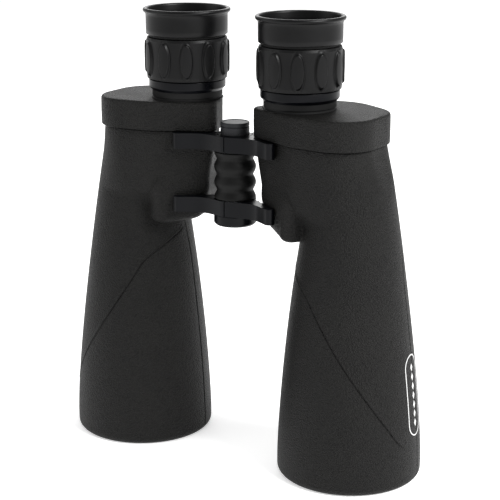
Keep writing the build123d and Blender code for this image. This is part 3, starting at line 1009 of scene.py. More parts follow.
    def lobe_inset(self, lobe: Lobe, level: np.ndarray) -> np.ndarray:
        """How far a lobe's outline is drawn in at each height.

        Below its floor a lobe draws in at an even slope until the barrel swallows it. The upper
        lobe's edge is a hyperbola. The lower lobe's edge is a quarter of a circle, and its top runs
        up into the upper lobe along a parabola.

        Args:
            lobe: the lobe.
            level: heights.

        Returns:
            Insets in millimetres.
        """
        if lobe is Lobe.UPPER:
            below = self.upper_floor - level
            soft = np.sqrt(below**2 + (self.edge_round / self.upper_slope) ** 2) + below
            return self.overhang + soft * self.upper_slope / 2
        below = self.lower_floor - level
        bend = np.clip(1 + below / self.lower_round, 0.0, 1.0)
        inset = self.overhang + self.lower_round * (1 - np.sqrt(1 - bend**2))
        inset += self.lower_slope * np.maximum(below, 0.0)
        return inset + self.fade_rate * np.maximum(level - self.lower_fade + self.fade_height, 0.0) ** 2

    def seen_hull(self, shapes: np.ndarray, centre: np.ndarray, turns: np.ndarray, inset: np.ndarray
                  ) -> np.ndarray:
        """Hulls of circles as seen from the centre line.

        Args:
            shapes: circles, shape (levels, circles, 3).
            centre: the centre line's X at each level.
            turns: angles of the columns.
            inset: how far each hull is drawn in.

        Returns:
            Radii, shape (levels, columns).
        """
        middle = np.stack([centre, np.zeros(len(centre))], -1)
        return hull_radius(shapes, middle, np.repeat(turns[None], len(centre), 0), inset)

    def radii(self, layout: Layout, heights: np.ndarray, turns: np.ndarray) -> tuple[np.ndarray, np.ndarray]:
        """Outer surface's distance from a moving centre line.

        The barrel is a circle seen from the centre line, the two lobes are hulls of circles, and
        the three are joined by a smooth maximum. All of it stays inside the cap's outline, which
        grows on the way down by a flare and its square.

        Args:
            layout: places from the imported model.
            heights: shape (rows, columns).
            turns: shape (columns,).

        Returns:
            Radii and the centre line's X, both shape (rows, columns).
        """
        axis = self.barrel_axis(layout.objective_x, heights)
        centre = axis + (self.housing_centre - axis) * smooth_step(heights, self.centre_start, self.lobe_foot)
        barrel = self.barrel_radius(layout.mouth_radius, heights)
        offset = axis - centre
        cosine, sine = np.cos(turns)[None, :], np.sin(turns)[None, :]
        surface = offset * cosine + np.sqrt(np.maximum(barrel**2 - (offset * sine) ** 2, 0.0))
        for lobe, floor, slope, reach in (
            (Lobe.UPPER, self.upper_floor, self.upper_slope, self.upper_blend),
            (Lobe.LOWER, self.lower_floor, self.lower_slope, self.lower_blend),
        ):
            rows = np.nonzero(heights[:, 0] > floor - self.swallowed / slope - 2.0)[0]
            level = heights[rows, 0]
            shapes = self.lobe_circles(lobe, level, layout.armour_top)
            bulge = self.seen_hull(shapes, centre[rows, 0], turns, self.lobe_inset(lobe, level))
            surface[rows] = smooth_max(surface[rows], bulge, reach)
        rows = np.nonzero(heights[:, 0] > self.upper_floor)[0]
        shapes = np.repeat(np.array(self.outline, float)[None], len(rows), 0)
        down = layout.armour_top - heights[rows, 0]
        inset = self.overhang * 0.9 - self.flare * down - self.flare_growth * down**2
        limit = self.seen_hull(shapes, centre[rows, 0], turns, inset)
        surface[rows] = -smooth_max(-surface[rows], -limit, self.limit_blend)
        return surface, centre

    def details(self, turns: np.ndarray, heights: np.ndarray, crease_rows: np.ndarray, layout: Layout
                ) -> np.ndarray:
        """Depth cut from the surface by the crease and the two mould seams.

        The crease is a groove whose section is a bell curve, fading out at the outer seam; each
        seam is a narrower bell curve of the distance round the barrel.

        Args:
            turns: the columns' angles.
            heights: the rows' heights.
            crease_rows: rows that cross the crease.
            layout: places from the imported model.

        Returns:
            Depths, shape (rows, columns).
        """
        degrees = (np.degrees(turns) + 90 + 180) % 360 - 180
        start, end = self.crease_ends
        shown = smooth_step(degrees, *start) * (1 - smooth_step(degrees, *end))
        middle = heights[crease_rows[len(crease_rows) // 2]][None, :]
        groove = self.crease_depth * np.exp(-(((heights - middle) / self.crease_width) ** 2))
        ridge = self.crease_ridge * np.exp(-(((heights - middle - self.ridge_place) / self.ridge_width) ** 2))
        cut = (groove - ridge) * shown[None, :]
        radius = self.barrel_radius(layout.mouth_radius, heights)
        for angle, strength in zip(self.seam_angles, (1.0, self.seam_share)):
            away = (turns[None, :] - math.radians(angle) + math.pi) % TURN - math.pi
            seam = np.exp(-((away * radius / self.seam_width) ** 2))
            cut = cut + self.seam_depth * strength * seam * (1 - smooth_step(heights, *self.seam_top))
        return cut

    def armour_grid(self, layout: Layout, side: Side) -> np.ndarray:
        """Closed grid of the armour: mouth lip, outer surface, top edge and inner wall.

        Args:
            layout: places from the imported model.
            side: the half.

        Returns:
            Grid of points, as for the right half.
        """
        turns = self.turns()
        heights, crease_rows = self.levels(layout, side)
        radii, centre = self.radii(layout, heights, turns)
        smooth = radii.copy()
        radii = radii - self.details(turns, heights, crease_rows, layout)
        flat = np.ones((1, len(turns)))
        rows: list[tuple[np.ndarray, np.ndarray, np.ndarray]] = []
        mouth = layout.mouth_radius
        axis = float(self.barrel_axis(layout.objective_x, np.array(0.0)))
        lip = ((0.0, self.lip_depth), (0.0, 0.5), (0.15, 0.15), (0.5, 0.0))
        for widening, height in lip:
            rows.append(((self.lip_bore + widening) * flat, height * flat, axis * flat))
        for step in np.linspace(0, math.pi / 2, 9)[:-1]:
            rows.append(((mouth - self.mouth_round * (1 - math.sin(step))) * flat,
                         self.mouth_round * (1 - math.cos(step)) * flat, axis * flat))
        rows.append((radii, heights, centre))
        top = layout.armour_top
        rows.append((radii[-1:] - 0.12, (top - 0.25) * flat, centre[-1:]))
        rows.append((radii[-1:] - 0.6, top * flat, centre[-1:]))
        tall = np.arange(len(heights) - 1, 0, -4)
        guard = np.minimum.reduce([smooth[np.clip(tall + k, 0, len(heights) - 1)] for k in range(-5, 6)])
        rows.append((radii[-1:] - self.rubber, top * flat, centre[-1:]))
        rows.append((guard - self.rubber, heights[tall], centre[tall]))
        rows.append(((mouth - self.rubber) * flat, (self.lip_depth + 2.0) * flat, axis * flat))
        rows.append(((mouth - self.rubber) * flat, self.lip_depth * flat, axis * flat))
        radius = np.concatenate([r for r, _, _ in rows])
        height = np.concatenate([np.broadcast_to(h, r.shape) for r, h, _ in rows])
        middle = np.concatenate([np.broadcast_to(c, r.shape) for r, _, c in rows])
        return np.stack([middle + radius * np.cos(turns), radius * np.sin(turns), height], -1)

    def casting_grid(self, layout: Layout) -> np.ndarray:
        """Closed grid of the thin prism housing, which follows the inside of the armour.

        Args:
            layout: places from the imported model.

        Returns:
            Grid of points.
        """
        turns = self.turns()
        low = np.linspace(self.lobe_foot, self.lower_fade, 40)
        levels = np.concatenate([low, np.linspace(self.lower_fade + 2.0, layout.armour_top, 12)])
        heights = levels[:, None] * np.ones((1, len(turns)))
        radii, centre = self.radii(layout, heights, turns)
        guard = np.minimum.reduce([radii[np.clip(np.arange(len(levels)) + k, 0, len(levels) - 1)]
                                   for k in range(-2, 3)])
        rows = [(guard - self.rubber - self.casting_gap, heights)]
        rows.append((guard[-1:] - self.rubber - self.casting_gap, heights[-1:] + self.neck_height))
        rows.append((guard[-1:] - self.rubber - self.metal, heights[-1:] + self.neck_height))
        rows.append((guard[::-3] - self.rubber - self.metal, heights[::-3]))
        radius = np.concatenate([r for r, _ in rows])
        height = np.concatenate([h for _, h in rows])
        middle = np.full_like(radius, self.housing_centre)
        middle[height < self.lobe_foot + 0.5] = centre[0, 0]
        return np.stack([middle + radius * np.cos(turns), radius * np.sin(turns), height], -1)

    def cap_grid(self, layout: Layout, neck: float) -> np.ndarray:
        """Closed grid of the cover cap, whose columns fan out from the eyepiece's axis.

        Args:
            layout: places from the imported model.
            neck: radius of the hole for the eyepiece.

        Returns:
            Grid of points.
        """
        turns = np.arange(360) * TURN / 360
        centre = np.array([[layout.ocular_x, 0.0]])
        shapes = np.array(self.outline, float)[None]

        def edge(inset: float) -> np.ndarray:
            """Outline drawn in by the inset, as seen from the eyepiece's axis."""
            return hull_radius(shapes, centre, turns[None], np.array([inset]))[0]

        floor, roof = layout.cap_floor, layout.cap_roof
        top_round, foot_round = 1.7, 0.5
        rows: list[tuple[np.ndarray, float]] = []
        hole = np.full(len(turns), neck)
        under_roof = roof - 5.0
        rows += [(hole, under_roof), (hole, roof - 0.6), (hole + 0.15, roof - 0.2), (hole + 0.6, roof)]
        flat = edge(top_round + 0.4) - hole - 0.6
        rows += [(hole + 0.6 + flat * share, roof) for share in (0.2, 0.45, 0.7, 0.9, 1.0)]
        for step in np.linspace(0, math.pi / 2, 8):
            rows.append((edge(top_round * (1 - math.sin(step))), roof - top_round * (1 - math.cos(step))))
        rows += [(edge(-0.05), roof - top_round - 0.8), (edge(-0.1), (roof + floor) / 2)]
        rows.append((edge(0.0), floor + 1.0))
        for step in np.linspace(0, math.pi / 2, 5):
            rows.append((edge(foot_round * (1 - math.cos(step))), floor + foot_round * (1 - math.sin(step))))
        rows += [(edge(2.2), floor), (edge(3.2), floor + 0.4), (edge(3.4), floor + 1.2)]
        rows.append((edge(3.4), under_roof))
        radius = np.array([r for r, _ in rows])
        height = np.array([np.full(len(turns), h) for _, h in rows])
        return np.stack([layout.ocular_x + radius * np.cos(turns), radius * np.sin(turns), height], -1)

    def build(self, shop: Shop, side: Side) -> None:
        """Put one half's armour, prism housing and cover cap into the scene.

        Args:
            shop: the workshop.
            side: the half.
        """
        body = f"{side.label}_half"
        skin = shop.place("armour_skin", self.armour_grid(shop.layout, side), side)
        shop.add(skin, body, "rubber_armour", Finish.ARMOUR, f"{side.label}_armour")
        casting = shop.place("thin_casting", self.casting_grid(shop.layout), side)
        shop.add(casting, body, "cast_metal", Finish.CASTING, f"{side.label}_prism_housing")
        cap = shop.place("cap_moulding", self.cap_grid(shop.layout, self.cap_hole), side)
        shop.add(cap, body, "rubber_armour", Finish.ARMOUR, f"{side.label}_cover_cap")


@dataclass
class Badge:
    """Printed outline on the outer side of a barrel, with a plain row of diamonds.

    Args:
        shell: the surface that it lies on.
        bearing: degrees from +X towards the back.
        low: height of its lower end.
        high: height of its upper end.
        width: its width round the barrel.
        line: width of the printed line.
        lift: how far the ink stands out.
        diamonds: number of diamonds inside.
        pitch: distance between their middles.
        diamond_half: half of a diamond's height.
    """

    shell: Shell
    bearing: float = 5.2
    low: float = 29.5
    high: float = 78.0
    width: float = 15.4
    line: float = 0.75
    lift: float = 0.12
    diamonds: int = 7
    pitch: float = 5.6
    diamond_half: float = 2.4

    def on_barrel(self, layout: Layout, across: np.ndarray, height: np.ndarray, lift: np.ndarray | float
                  ) -> np.ndarray:
        """Points on the barrel: the distance round it divided by its radius gives the turn.

        Args:
            layout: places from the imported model.
            across: distance round the barrel from the badge's middle.
            height: height above the table.
            lift: distance out from the surface.

        Returns:
            Points in millimetres.
        """
        radius = self.shell.barrel_radius(layout.mouth_radius, height)
        turn = math.radians(self.bearing) + across / radius
        axis = self.shell.barrel_axis(layout.objective_x, height)
        return np.stack([axis + (radius + lift) * np.cos(turn), (radius + lift) * np.sin(turn), height], -1)

    def stadium(self, layout: Layout) -> np.ndarray:
        """Closed grid of the printed outline: a low rounded section carried round a stadium.

        Args:
            layout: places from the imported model.

        Returns:
            Grid of points.
        """
        half = self.width / 2
        upper = np.linspace(0, math.pi, 40)
        lower = upper + math.pi
        straight = np.linspace(0, 1, 24)[1:-1]
        one, zero = np.ones_like(straight), np.zeros_like(straight)
        top, foot = self.high - half, self.low + half
        out_x = np.concatenate([np.cos(upper), -one, np.cos(lower), one])
        out_z = np.concatenate([np.sin(upper), zero, np.sin(lower), zero])
        across = half * out_x
        height = np.concatenate([top + half * np.sin(upper), top + (foot - top) * straight,
                                 foot + half * np.sin(lower), foot + (top - foot) * straight])
        section = ((-0.5, -0.2), (-0.5, 0.6), (-0.32, 1.0), (0.32, 1.0), (0.5, 0.6), (0.5, -0.2))
        rows = [
            self.on_barrel(layout, across + out_x * self.line * wide, height + out_z * self.line * wide,
                           self.lift * rise)
            for wide, rise in section
        ]
        return np.array(rows)

    def diamond(self, layout: Layout, height: float, size: float
                ) -> tuple[np.ndarray, list[list[int]]]:
        """One low four-sided diamond.

        Args:
            layout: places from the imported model.
            height: height of its middle.
            size: half of its height.

        Returns:
            Its points and faces.
        """
        corners = np.array([(0.0, 1.0), (0.62, 0.0), (0.0, -1.0), (-0.62, 0.0)]) * size
        rings = [self.on_barrel(layout, corners[:, 0] * k, height + corners[:, 1] * k, self.lift * rise)
                 for k, rise in ((1.0, -0.3), (1.0, 0.7), (0.88, 1.0))]
        points = np.concatenate(rings)
        faces = [[r * 4 + k, r * 4 + (k + 1) % 4, r * 4 + 4 + (k + 1) % 4, r * 4 + 4 + k]
                 for r in range(2) for k in range(4)]
        return points, faces + [[8, 9, 10, 11], [3, 2, 1, 0]]

    def build(self, shop: Shop, side: Side) -> None:
        """Put one half's badge into the scene.

        Args:
            shop: the workshop.
            side: the half.
        """
        ring = self.stadium(shop.layout)
        points = [ring.reshape(-1, 3)]
        faces = grid_faces(ring.shape[0], ring.shape[1], True).tolist()
        middle = (self.low + self.high) / 2
        for step in range(self.diamonds):
            place = middle + (step - (self.diamonds - 1) / 2) * self.pitch
            corners, sides = self.diamond(shop.layout, place, self.diamond_half)
            start = sum(len(p) for p in points)
            points.append(corners)
            faces += [[start + k for k in face] for face in sides]
        piece = make_object(f"{side.label}_badge", np.concatenate(points) * (side.value, 1, 1), faces, False)
        shop.add(piece, f"{side.label}_half", "rubber_armour", Finish.INK)


@dataclass
class Eyepiece:
    """Focusing eyepiece: neck, index ring, lobed grip, travelling tube, lens and eyecup.

    Args:
        ovals: number of raised ovals round the grip.
        oval_width: width of an oval.
        oval_height: height of an oval.
        oval_rise: how far an oval stands out.
        oval_edge: share of an oval's reach at which its edge starts to fall.
        oval_columns: columns of the grid for each oval.
        moat_depth: depth of the groove round an oval.
        grip_radius: outside of the grip between the ovals.
        wall: thickness of the grip.
        lip_wall: thickness of its lower lip, which clears the index ring.
        recess: height of the space behind that lip.
        phases: angle of one oval on the left and right grips, in degrees.
        neck_radius: outside of the fixed neck.
        cup_radius: outside of the eyecup's sleeve.
        flange: outside of the travelling tube's flange.
    """

    ovals: int = 11
    oval_width: float = 7.7
    oval_height: float = 21.0
    oval_rise: float = 1.4
    oval_edge: float = 0.86
    oval_columns: int = 46
    moat_depth: float = 0.22
    grip_radius: float = 24.3
    wall: float = 1.4
    lip_wall: float = 0.85
    recess: float = 4.2
    phases: tuple[float, float] = (7.6, 1.3)
    neck_radius: float = 21.2
    cup_radius: float = 24.5
    flange: float = 22.8

    def grip_grid(self, shop: Shop, side: Side) -> np.ndarray:
        """Closed grid of the grip: a rounded sleeve with ovals that rise by a steep smooth step.

        An oval is where (across / half width) squared plus (up / half height) squared is under 1.

        Args:
            shop: the workshop.
            side: the half, whose grip stands at its own turn.

        Returns:
            Grid of points, as for the right half.
        """
        low, high = span("right_focus_grip")[:, 2]
        radius = self.grip_radius
        outer = rounded([
            (radius - self.lip_wall, low, 0), (radius - 0.25, low, 0.35), (radius - 0.05, low + 2.0, 0.5),
            (radius, high - 1.6, 0.4), (radius - 0.5, high, 0.35), (radius - self.wall, high, 0.3),
        ], 4, False)
        straight = np.stack([np.full(84, radius - 0.03), np.linspace(low + 2.2, high - 1.9, 84)], -1)
        foot = outer[outer[:, 1] < low + 2.1]
        head = outer[outer[:, 1] > high - 1.8]
        profile = np.concatenate([foot, straight, head])
        columns = self.ovals * self.oval_columns
        turns = np.arange(columns) * TURN / columns
        phase = math.radians(180.0 - self.phases[0] if side is Side.LEFT else self.phases[1])
        pitch = TURN / self.ovals
        across = ((turns - phase + pitch / 2) % pitch - pitch / 2) * radius
        up = profile[:, 1] - (low + high) / 2
        wide = across[None, :] / (self.oval_width / 2)
        tall = up[:, None] / (self.oval_height / 2)
        reach = np.sqrt(wide**2 + tall**2)
        crown = 1 - 0.06 * smooth_step(reach, 0.0, self.oval_edge)
        rise = self.oval_rise * (1 - smooth_step(reach, self.oval_edge, 1.0)) * crown
        moat = self.moat_depth * np.exp(-(((reach - 1.07) / 0.07) ** 2))
        solid = smooth_step(profile[:, 0], radius - 0.9, radius - 0.4)[:, None]
        outside = profile[:, :1] + (rise - moat) * solid
        recess = low + self.recess
        inside = np.array([(radius - self.wall, high), (radius - self.wall, recess),
                           (radius - self.lip_wall, recess), (radius - self.lip_wall, low)])
        radii = np.concatenate([outside, np.repeat(inside[:, :1], columns, 1)])
        heights = np.repeat(np.concatenate([profile, inside])[:, 1:], columns, 1)
        axis = shop.layout.ocular_x
        return np.stack([axis + radii * np.cos(turns), radii * np.sin(turns), heights], -1)

    def cup_profile(self) -> np.ndarray:
        """Section of the eyecup: a thin sleeve that flares into a rounded bead at the top.

        Returns:
            Points of (radius, height).
        """
        box = span("right_eyecup")
        low, high = box[:, 2]
        rim = (box[1, 0] - box[0, 0]) / 2
        bead = 1.35
        sleeve = self.cup_radius
        bore = self.flange
        outside = [(sleeve - 0.3, low), (sleeve, low + 0.35), (sleeve, low + 3.0), (sleeve, high - 6.5),
                   (sleeve, high - 4.2), (sleeve + 0.12, high - 3.4), (sleeve + 0.45, high - 2.9)]
        arc = np.linspace(-0.45 * math.pi, math.pi, 16)
        top = np.stack([rim - bead + bead * np.cos(arc), high - bead + bead * np.sin(arc)], -1)
        inside = [(rim - 2 * bead - 0.15, high - 2.4), (bore + 0.2, high - 3.9), (bore + 0.05, high - 5.5),
                  (bore, low + 3.4), (bore, low)]
        return np.concatenate([outside, top, inside])

    def build(self, shop: Shop, side: Side) -> None:
        """Put one eyepiece into the scene.

        Args:
            shop: the workshop.
            side: the half.
        """
        half, ocular, focus = (f"{side.label}_{part}" for part in ("half", "ocular", "focus"))
        centre = (shop.layout.ocular_x, 0.0)

        def turned_piece(name: str, profile: np.ndarray, pole: Pole = Pole.RING) -> bpy.types.Object:
            """Object of revolution about this eyepiece's axis."""
            return shop.place(name, turned_grid(profile, centre, 144), side, pole)

        base = span("right_eyepiece_base")
        plate = shop.layout.cap_roof - 5.0
        foot, head = base[:, 2]
        neck, bore, thread, spigot, window = self.neck_radius, 17.0, 19.5, 15.0, 12.0
        profile = rounded([
            (bore, plate + 0.6, 0), (bore, head, 0.3), (thread, head, 0.3), (thread, plate + 11.0, 0),
            (neck, plate + 11.0, 0.3), (neck, plate + 6.6, 0.2), (neck - 0.5, plate + 6.3, 0.15),
            (neck - 0.5, plate + 5.6, 0.15), (neck, plate + 5.3, 0.2), (neck, plate, 0), (spigot, plate, 0),
            (spigot, foot, 0), (window, foot, 0), (window, plate + 0.6, 0),
        ], 4)
        shop.add(turned_piece("neck", profile), half, "black_anodised", Finish.INSIDE,
                 f"{side.label}_eyepiece_base")
        index = span("right_index_ring")
        low, high = index[:, 2]
        outer = (index[1, 0] - index[0, 0]) / 2
        inner = thread + 0.1
        profile = rounded([(inner, low, 0), (outer - 1.7, low, 0.25), (outer, low + 1.9, 0.6),
                           (outer, high, 0.45), (inner, high, 0)], 5)
        shop.add(turned_piece("index_collar", profile), half, "black_anodised", Finish.ANODISED,
                 f"{side.label}_index_ring")
        grip = shop.place("lobed_grip", self.grip_grid(shop, side), side)
        shop.add(grip, focus, "grip_rubber", Finish.GRIP, f"{side.label}_focus_grip")
        foot, head = span("right_ocular_tube")[:, 2]
        flange, inner, outer = self.flange, 14.2, bore - 0.1
        profile = rounded([
            (inner, foot, 0), (inner, head - 3.0, 0.3), (21.2, head - 3.4, 0.2), (21.2, head, 0.3),
            (flange - 0.1, head, 0.3), (flange - 0.1, head - 3.0, 0), (flange, head - 3.1, 0.2),
            (flange, head - 4.5, 0.3), (outer, head - 4.6, 0), (outer, foot, 0),
        ], 4)
        shop.add(turned_piece("travelling_tube", profile), ocular, "black_anodised", Finish.INSIDE,
                 f"{side.label}_ocular_tube")
        shop.add(turned_piece("rolled_eyecup", self.cup_profile()), ocular, "grip_rubber", Finish.CUP,
                 f"{side.label}_eyecup")
        lens = span("right_eye_lens")
        profile = lens_profile(14.15, lens[0, 2], lens[1, 2], 1.8, 1.8)
        shop.add(turned_piece("eye_glass", profile, Pole.AXIS), ocular, "coated_glass", Finish.LENS,
                 f"{side.label}_eye_lens")


def lens_profile(radius: float, low: float, high: float, low_bulge: float, high_bulge: float) -> np.ndarray:
    """Section of a lens from pole to pole; each face is a parabola, which a shallow sphere nearly is.

    Args:
        radius: the lens's radius.
        low: height of the lower pole.
        high: height of the upper pole.
        low_bulge: how far the lower face bulges.
        high_bulge: how far the upper face bulges.

    Returns:
        Points of (radius, height).
    """
    out = np.linspace(0, radius - 0.25, 14)
    lower = np.stack([out, low + low_bulge * (out / radius) ** 2], -1)
    upper = np.stack([out[::-1], high - high_bulge * (out[::-1] / radius) ** 2], -1)
    edge = np.array([(radius, low + low_bulge + 0.25), (radius, high - high_bulge - 0.25)])
    return np.concatenate([lower, edge, upper])


@dataclass
class Objective:
    """Front glass of a barrel and the cell that holds it.

    Args:
        glass: radius of the front glass.
        bulge: how far each of its faces bulges.
        recess: radius of the recess that takes a dust cap.
        recess_depth: depth of that recess.
        ledge: radius inside the lens's seat.
        seat_height: height of the seat above the cell's foot.
    """

    glass: float = 36.0
    bulge: float = 2.6
    recess: float = 36.6
    recess_depth: float = 9.9
    ledge: float = 34.6
    seat_height: float = 22.6

    def build(self, shop: Shop, side: Side) -> None:
        """Put the front lens and its cell into the scene.

        Args:
            shop: the workshop.
            side: the half.
        """
        lens = span("right_crown_lens")
        profile = lens_profile(self.glass, lens[0, 2], lens[1, 2], self.bulge, self.bulge)
        grid = turned_grid(profile, (shop.layout.objective_x, 0.0), 144)
        shop.add(shop.place("front_glass", grid, side, Pole.AXIS), f"{side.label}_half", "coated_glass",
                 Finish.LENS, f"{side.label}_crown_lens")
        cell = span("right_objective_cell")
        low, high = cell[:, 2]
        outer = (cell[1, 0] - cell[0, 0]) / 2
        bore = self.glass + 0.05
        profile = rounded([
            (self.recess, low, 0.25), (self.recess, low + self.recess_depth, 0),
            (bore, low + self.recess_depth + 0.1, 0), (bore, low + self.seat_height, 0),
            (self.ledge, low + self.seat_height + 0.1, 0), (self.ledge, high, 0.2), (outer, high, 0.2),
            (outer, low, 0.25),
        ])
        grid = turned_grid(profile, (shop.layout.objective_x, 0.0), 144)
        shop.add(shop.place("front_cell", grid, side), f"{side.label}_half", "black_anodised", Finish.INSIDE,
                 f"{side.label}_objective_cell")


@dataclass
class Hinge:
    """Central hinge: two pairs of arms, a ribbed sleeve and the end caps.

    Args:
        knuckle: radius of the knuckles.
        end: middle of an arm's far end.
        end_radius: rounding of the far end.
        gap: between the two front bands.
        flange_direction: direction of the flange's front, away from the hinge.
        flange_length: length of the flange's straight front.
        back_turn: where a band ends at the back, degrees from +X.
        band: thickness of a band at the knuckle.
        front_turn: where the front line leaves the knuckle, degrees from +X.
        axle_bore: radius of the hole for the axle.
        rib: radius of the sleeve's ribs.
        valley: radius between them.
        ribs: number of ribs.
        rib_softness: how round the valleys are, beside the ribs' height of 1.
    """

    knuckle: float = 12.6
    end: Point = (31.5, -22.0)
    end_radius: float = 3.0
    gap: float = 0.6
    flange_direction: Point = (0.86, -0.51)
    flange_length: float = 8.5
    back_turn: float = 55.0
    band: float = 2.05
    front_turn: float = -74.0
    axle_bore: float = 5.6
    rib: float = 12.5
    valley: float = 10.9
    ribs: int = 3
    rib_softness: float = 0.3

    def arm_outline(self, hinge_y: float) -> np.ndarray:
        """Plan of the right arm: band round the knuckle, tangent to the front line, rounded far end.

        From the knuckle the front line dips along a cubic curve to a straight flange that lies on the
        housing. The back line runs inside the armour, where it can't be seen.

        Args:
            hinge_y: the hinge's axis.

        Returns:
            Points in order.
        """
        normal = math.atan2(-self.flange_direction[0], self.flange_direction[1])
        start = -math.pi / 2 + self.gap / 2 / self.knuckle
        front = np.linspace(start, math.radians(self.front_turn), 8)
        outer = [(self.knuckle * math.cos(a), hinge_y + self.knuckle * math.sin(a)) for a in front]
        run = np.linspace(0, 1, 16)[1:-1, None]
        begin = np.array(outer[-1])
        along = np.array([-math.sin(front[-1]), math.cos(front[-1])])
        finish = np.array([self.end[0] + self.end_radius * math.cos(normal),
                           self.end[1] + self.end_radius * math.sin(normal)])
        flange = np.array(self.flange_direction)
        reach_in = finish - flange * self.flange_length
        curve = (
            (1 - run) ** 3 * begin + 3 * (1 - run) ** 2 * run * (begin + along * 8.0)
            + 3 * (1 - run) * run**2 * (reach_in - flange * 6.5) + run**3 * reach_in
        )
        outer += [tuple(p) for p in curve] + [tuple(reach_in)]
        outer += [tuple(reach_in + (finish - reach_in) * k) for k in (0.35, 0.7)]
        far = np.linspace(normal, normal + math.radians(150), 12)
        tip = [(self.end[0] + self.end_radius * math.cos(a), self.end[1] + self.end_radius * math.sin(a))
               for a in far]
        back = [(24.0, -12.6), (18.2, -10.6), (16.4, -8.0)]
        turn_in = np.linspace(math.radians(2), math.radians(self.back_turn), 10)
        rear = [(self.knuckle * math.cos(a), hinge_y + self.knuckle * math.sin(a)) for a in turn_in]
        inner_radius = self.knuckle - self.band
        inward = np.linspace(math.radians(self.back_turn), start, 30)
        inner = [(inner_radius * math.cos(a), hinge_y + inner_radius * math.sin(a)) for a in inward]
        inner[-1] = (self.gap / 2, inner[-1][1])
        outer[0] = (self.gap / 2, outer[0][1])
        return np.array(outer + tip + back + rear + inner)

    def arm(self, name: str, sign: int, low: float, high: float, ring: Point, shop: Shop) -> bpy.types.Object:
        """One arm with softened edges, and the ring that it carries round the axle.

        Args:
            name: the piece's name.
            sign: -1 for the left half and 1 for the right.
            low: underside.
            high: top.
            ring: underside and top of its ring.
            shop: the workshop.

        Returns:
            The new object.
        """
        y = shop.layout.hinge_y
        plan = self.arm_outline(y)
        count = len(plan)
        points = np.concatenate([np.column_stack([plan, np.full(count, z)]) for z in (low, high)])
        faces = [[k, (k + 1) % count, count + (k + 1) % count, count + k] for k in range(count)]
        faces += [list(range(count))[::-1], list(range(count, 2 * count))]
        inner = self.knuckle - self.band - 0.35
        section = rounded([(self.axle_bore, ring[0], 0.1), (inner, ring[0], 0.15), (inner, ring[1], 0.15),
                           (self.axle_bore, ring[1], 0.1)], 2)
        collar = turned_grid(section, (0.0, y), 96)
        faces += (grid_faces(collar.shape[0], collar.shape[1], True) + len(points)).tolist()
        points = np.concatenate([points, collar.reshape(-1, 3)]) * (sign, 1, 1)
        piece = make_object(name, points, faces, True)
        bevel = piece.modifiers.new("soft_edges", "BEVEL")
        bevel.width = 0.35 * MM
        bevel.segments = 3
        bevel.limit_method = "ANGLE"
        bevel.angle_limit = math.radians(38)
        bevel.harden_normals = True
        return piece

    def sleeve_profile(self, low: float, high: float) -> np.ndarray:
        """Section of the ribbed sleeve: three ribs, each a rounded bulge between narrower valleys.

        The outside is the valley's radius plus the rise times the softened size of a cosine.

        Args:
            low: the sleeve's underside.
            high: its top.

        Returns:
            Points of (radius, height).
        """
        heights = np.linspace(low, high, 90)
        cosine = np.cos((heights - low) / (high - low) * self.ribs * math.pi)
        soft = self.rib_softness
        wave = (np.sqrt(cosine**2 + soft**2) - soft) / (math.sqrt(1 + soft**2) - soft)
        outside = np.stack([self.valley + (self.rib - self.valley) * wave, heights], -1)
        outside[0, 0] -= 0.4
        outside[-1, 0] -= 0.4
        return np.concatenate([[(self.axle_bore, low)], outside, [(self.axle_bore, high)]])

    def build(self, shop: Shop) -> None:
        """Put the whole hinge into the scene.

        Args:
            shop: the workshop.
        """
        centre = (0.0, shop.layout.hinge_y)
        for level in ("upper", "lower"):
            low, high = span(f"right_{level}_arm")[:, 2]
            middle = (low + high) / 2
            for side in Side:
                ring = (middle + 0.05, high) if side is Side.RIGHT else (low, middle - 0.05)
                piece = self.arm(f"{side.label}_{level}_bracket", side.value, low, high, ring, shop)
                shop.add(piece, f"{side.label}_half", "black_anodised", Finish.ANODISED,
                         f"{side.label}_{level}_arm")
        low, high = span("grip_sleeve")[:, 2]
        shop.add(turned("ribbed_sleeve", self.sleeve_profile(low, high), centre), "left_half", "grip_rubber",
                 Finish.SLEEVE, "grip_sleeve")
        top = span("hinge_top_cap")
        radius = (top[1, 0] - top[0, 0]) / 2
        low, high = top[:, 2]
        profile = rounded([(7.05, low, 0), (radius, low, 0.2), (radius, high - 2.9, 0.25),
                           (radius - 0.5, high - 2.75, 0.15), (radius - 0.5, high - 2.35, 0.15),
                           (radius, high - 2.2, 0.25), (radius, high, 0.5), (radius - 1.3, high, 0.15),
                           (radius - 1.45, high - 0.25, 0.1), (0.0, high - 0.25, 0), (0.0, low + 3.1, 0),
                           (7.05, low + 3.1, 0)], 4)
        profile = np.roll(profile, -int(np.argmax(profile[:, 0] == 0.0)) - 1, 0)
        shop.add(turned("hinge_cap", profile, centre, 96, Pole.AXIS), "left_half", "black_anodised",
                 Finish.BLASTED, "hinge_top_cap")
        foot = span("tripod_cap")
        radius = (foot[1, 0] - foot[0, 0]) / 2
        low, high = foot[:, 2]
        bore = 9.1
        profile = rounded([(0.0, low, 0), (radius - 1.2, low, 0.2), (radius, low + 1.2, 0.8),
                           (radius, high, 0.3), (bore, high, 0.1), (bore, low + 2.0, 0), (0.0, low + 2.0, 0)],
                          4, False)
        shop.add(turned("socket_cap", profile, centre, 96, Pole.AXIS), "tripod_cap", "black_anodised",
                 Finish.ANODISED, "tripod_cap")


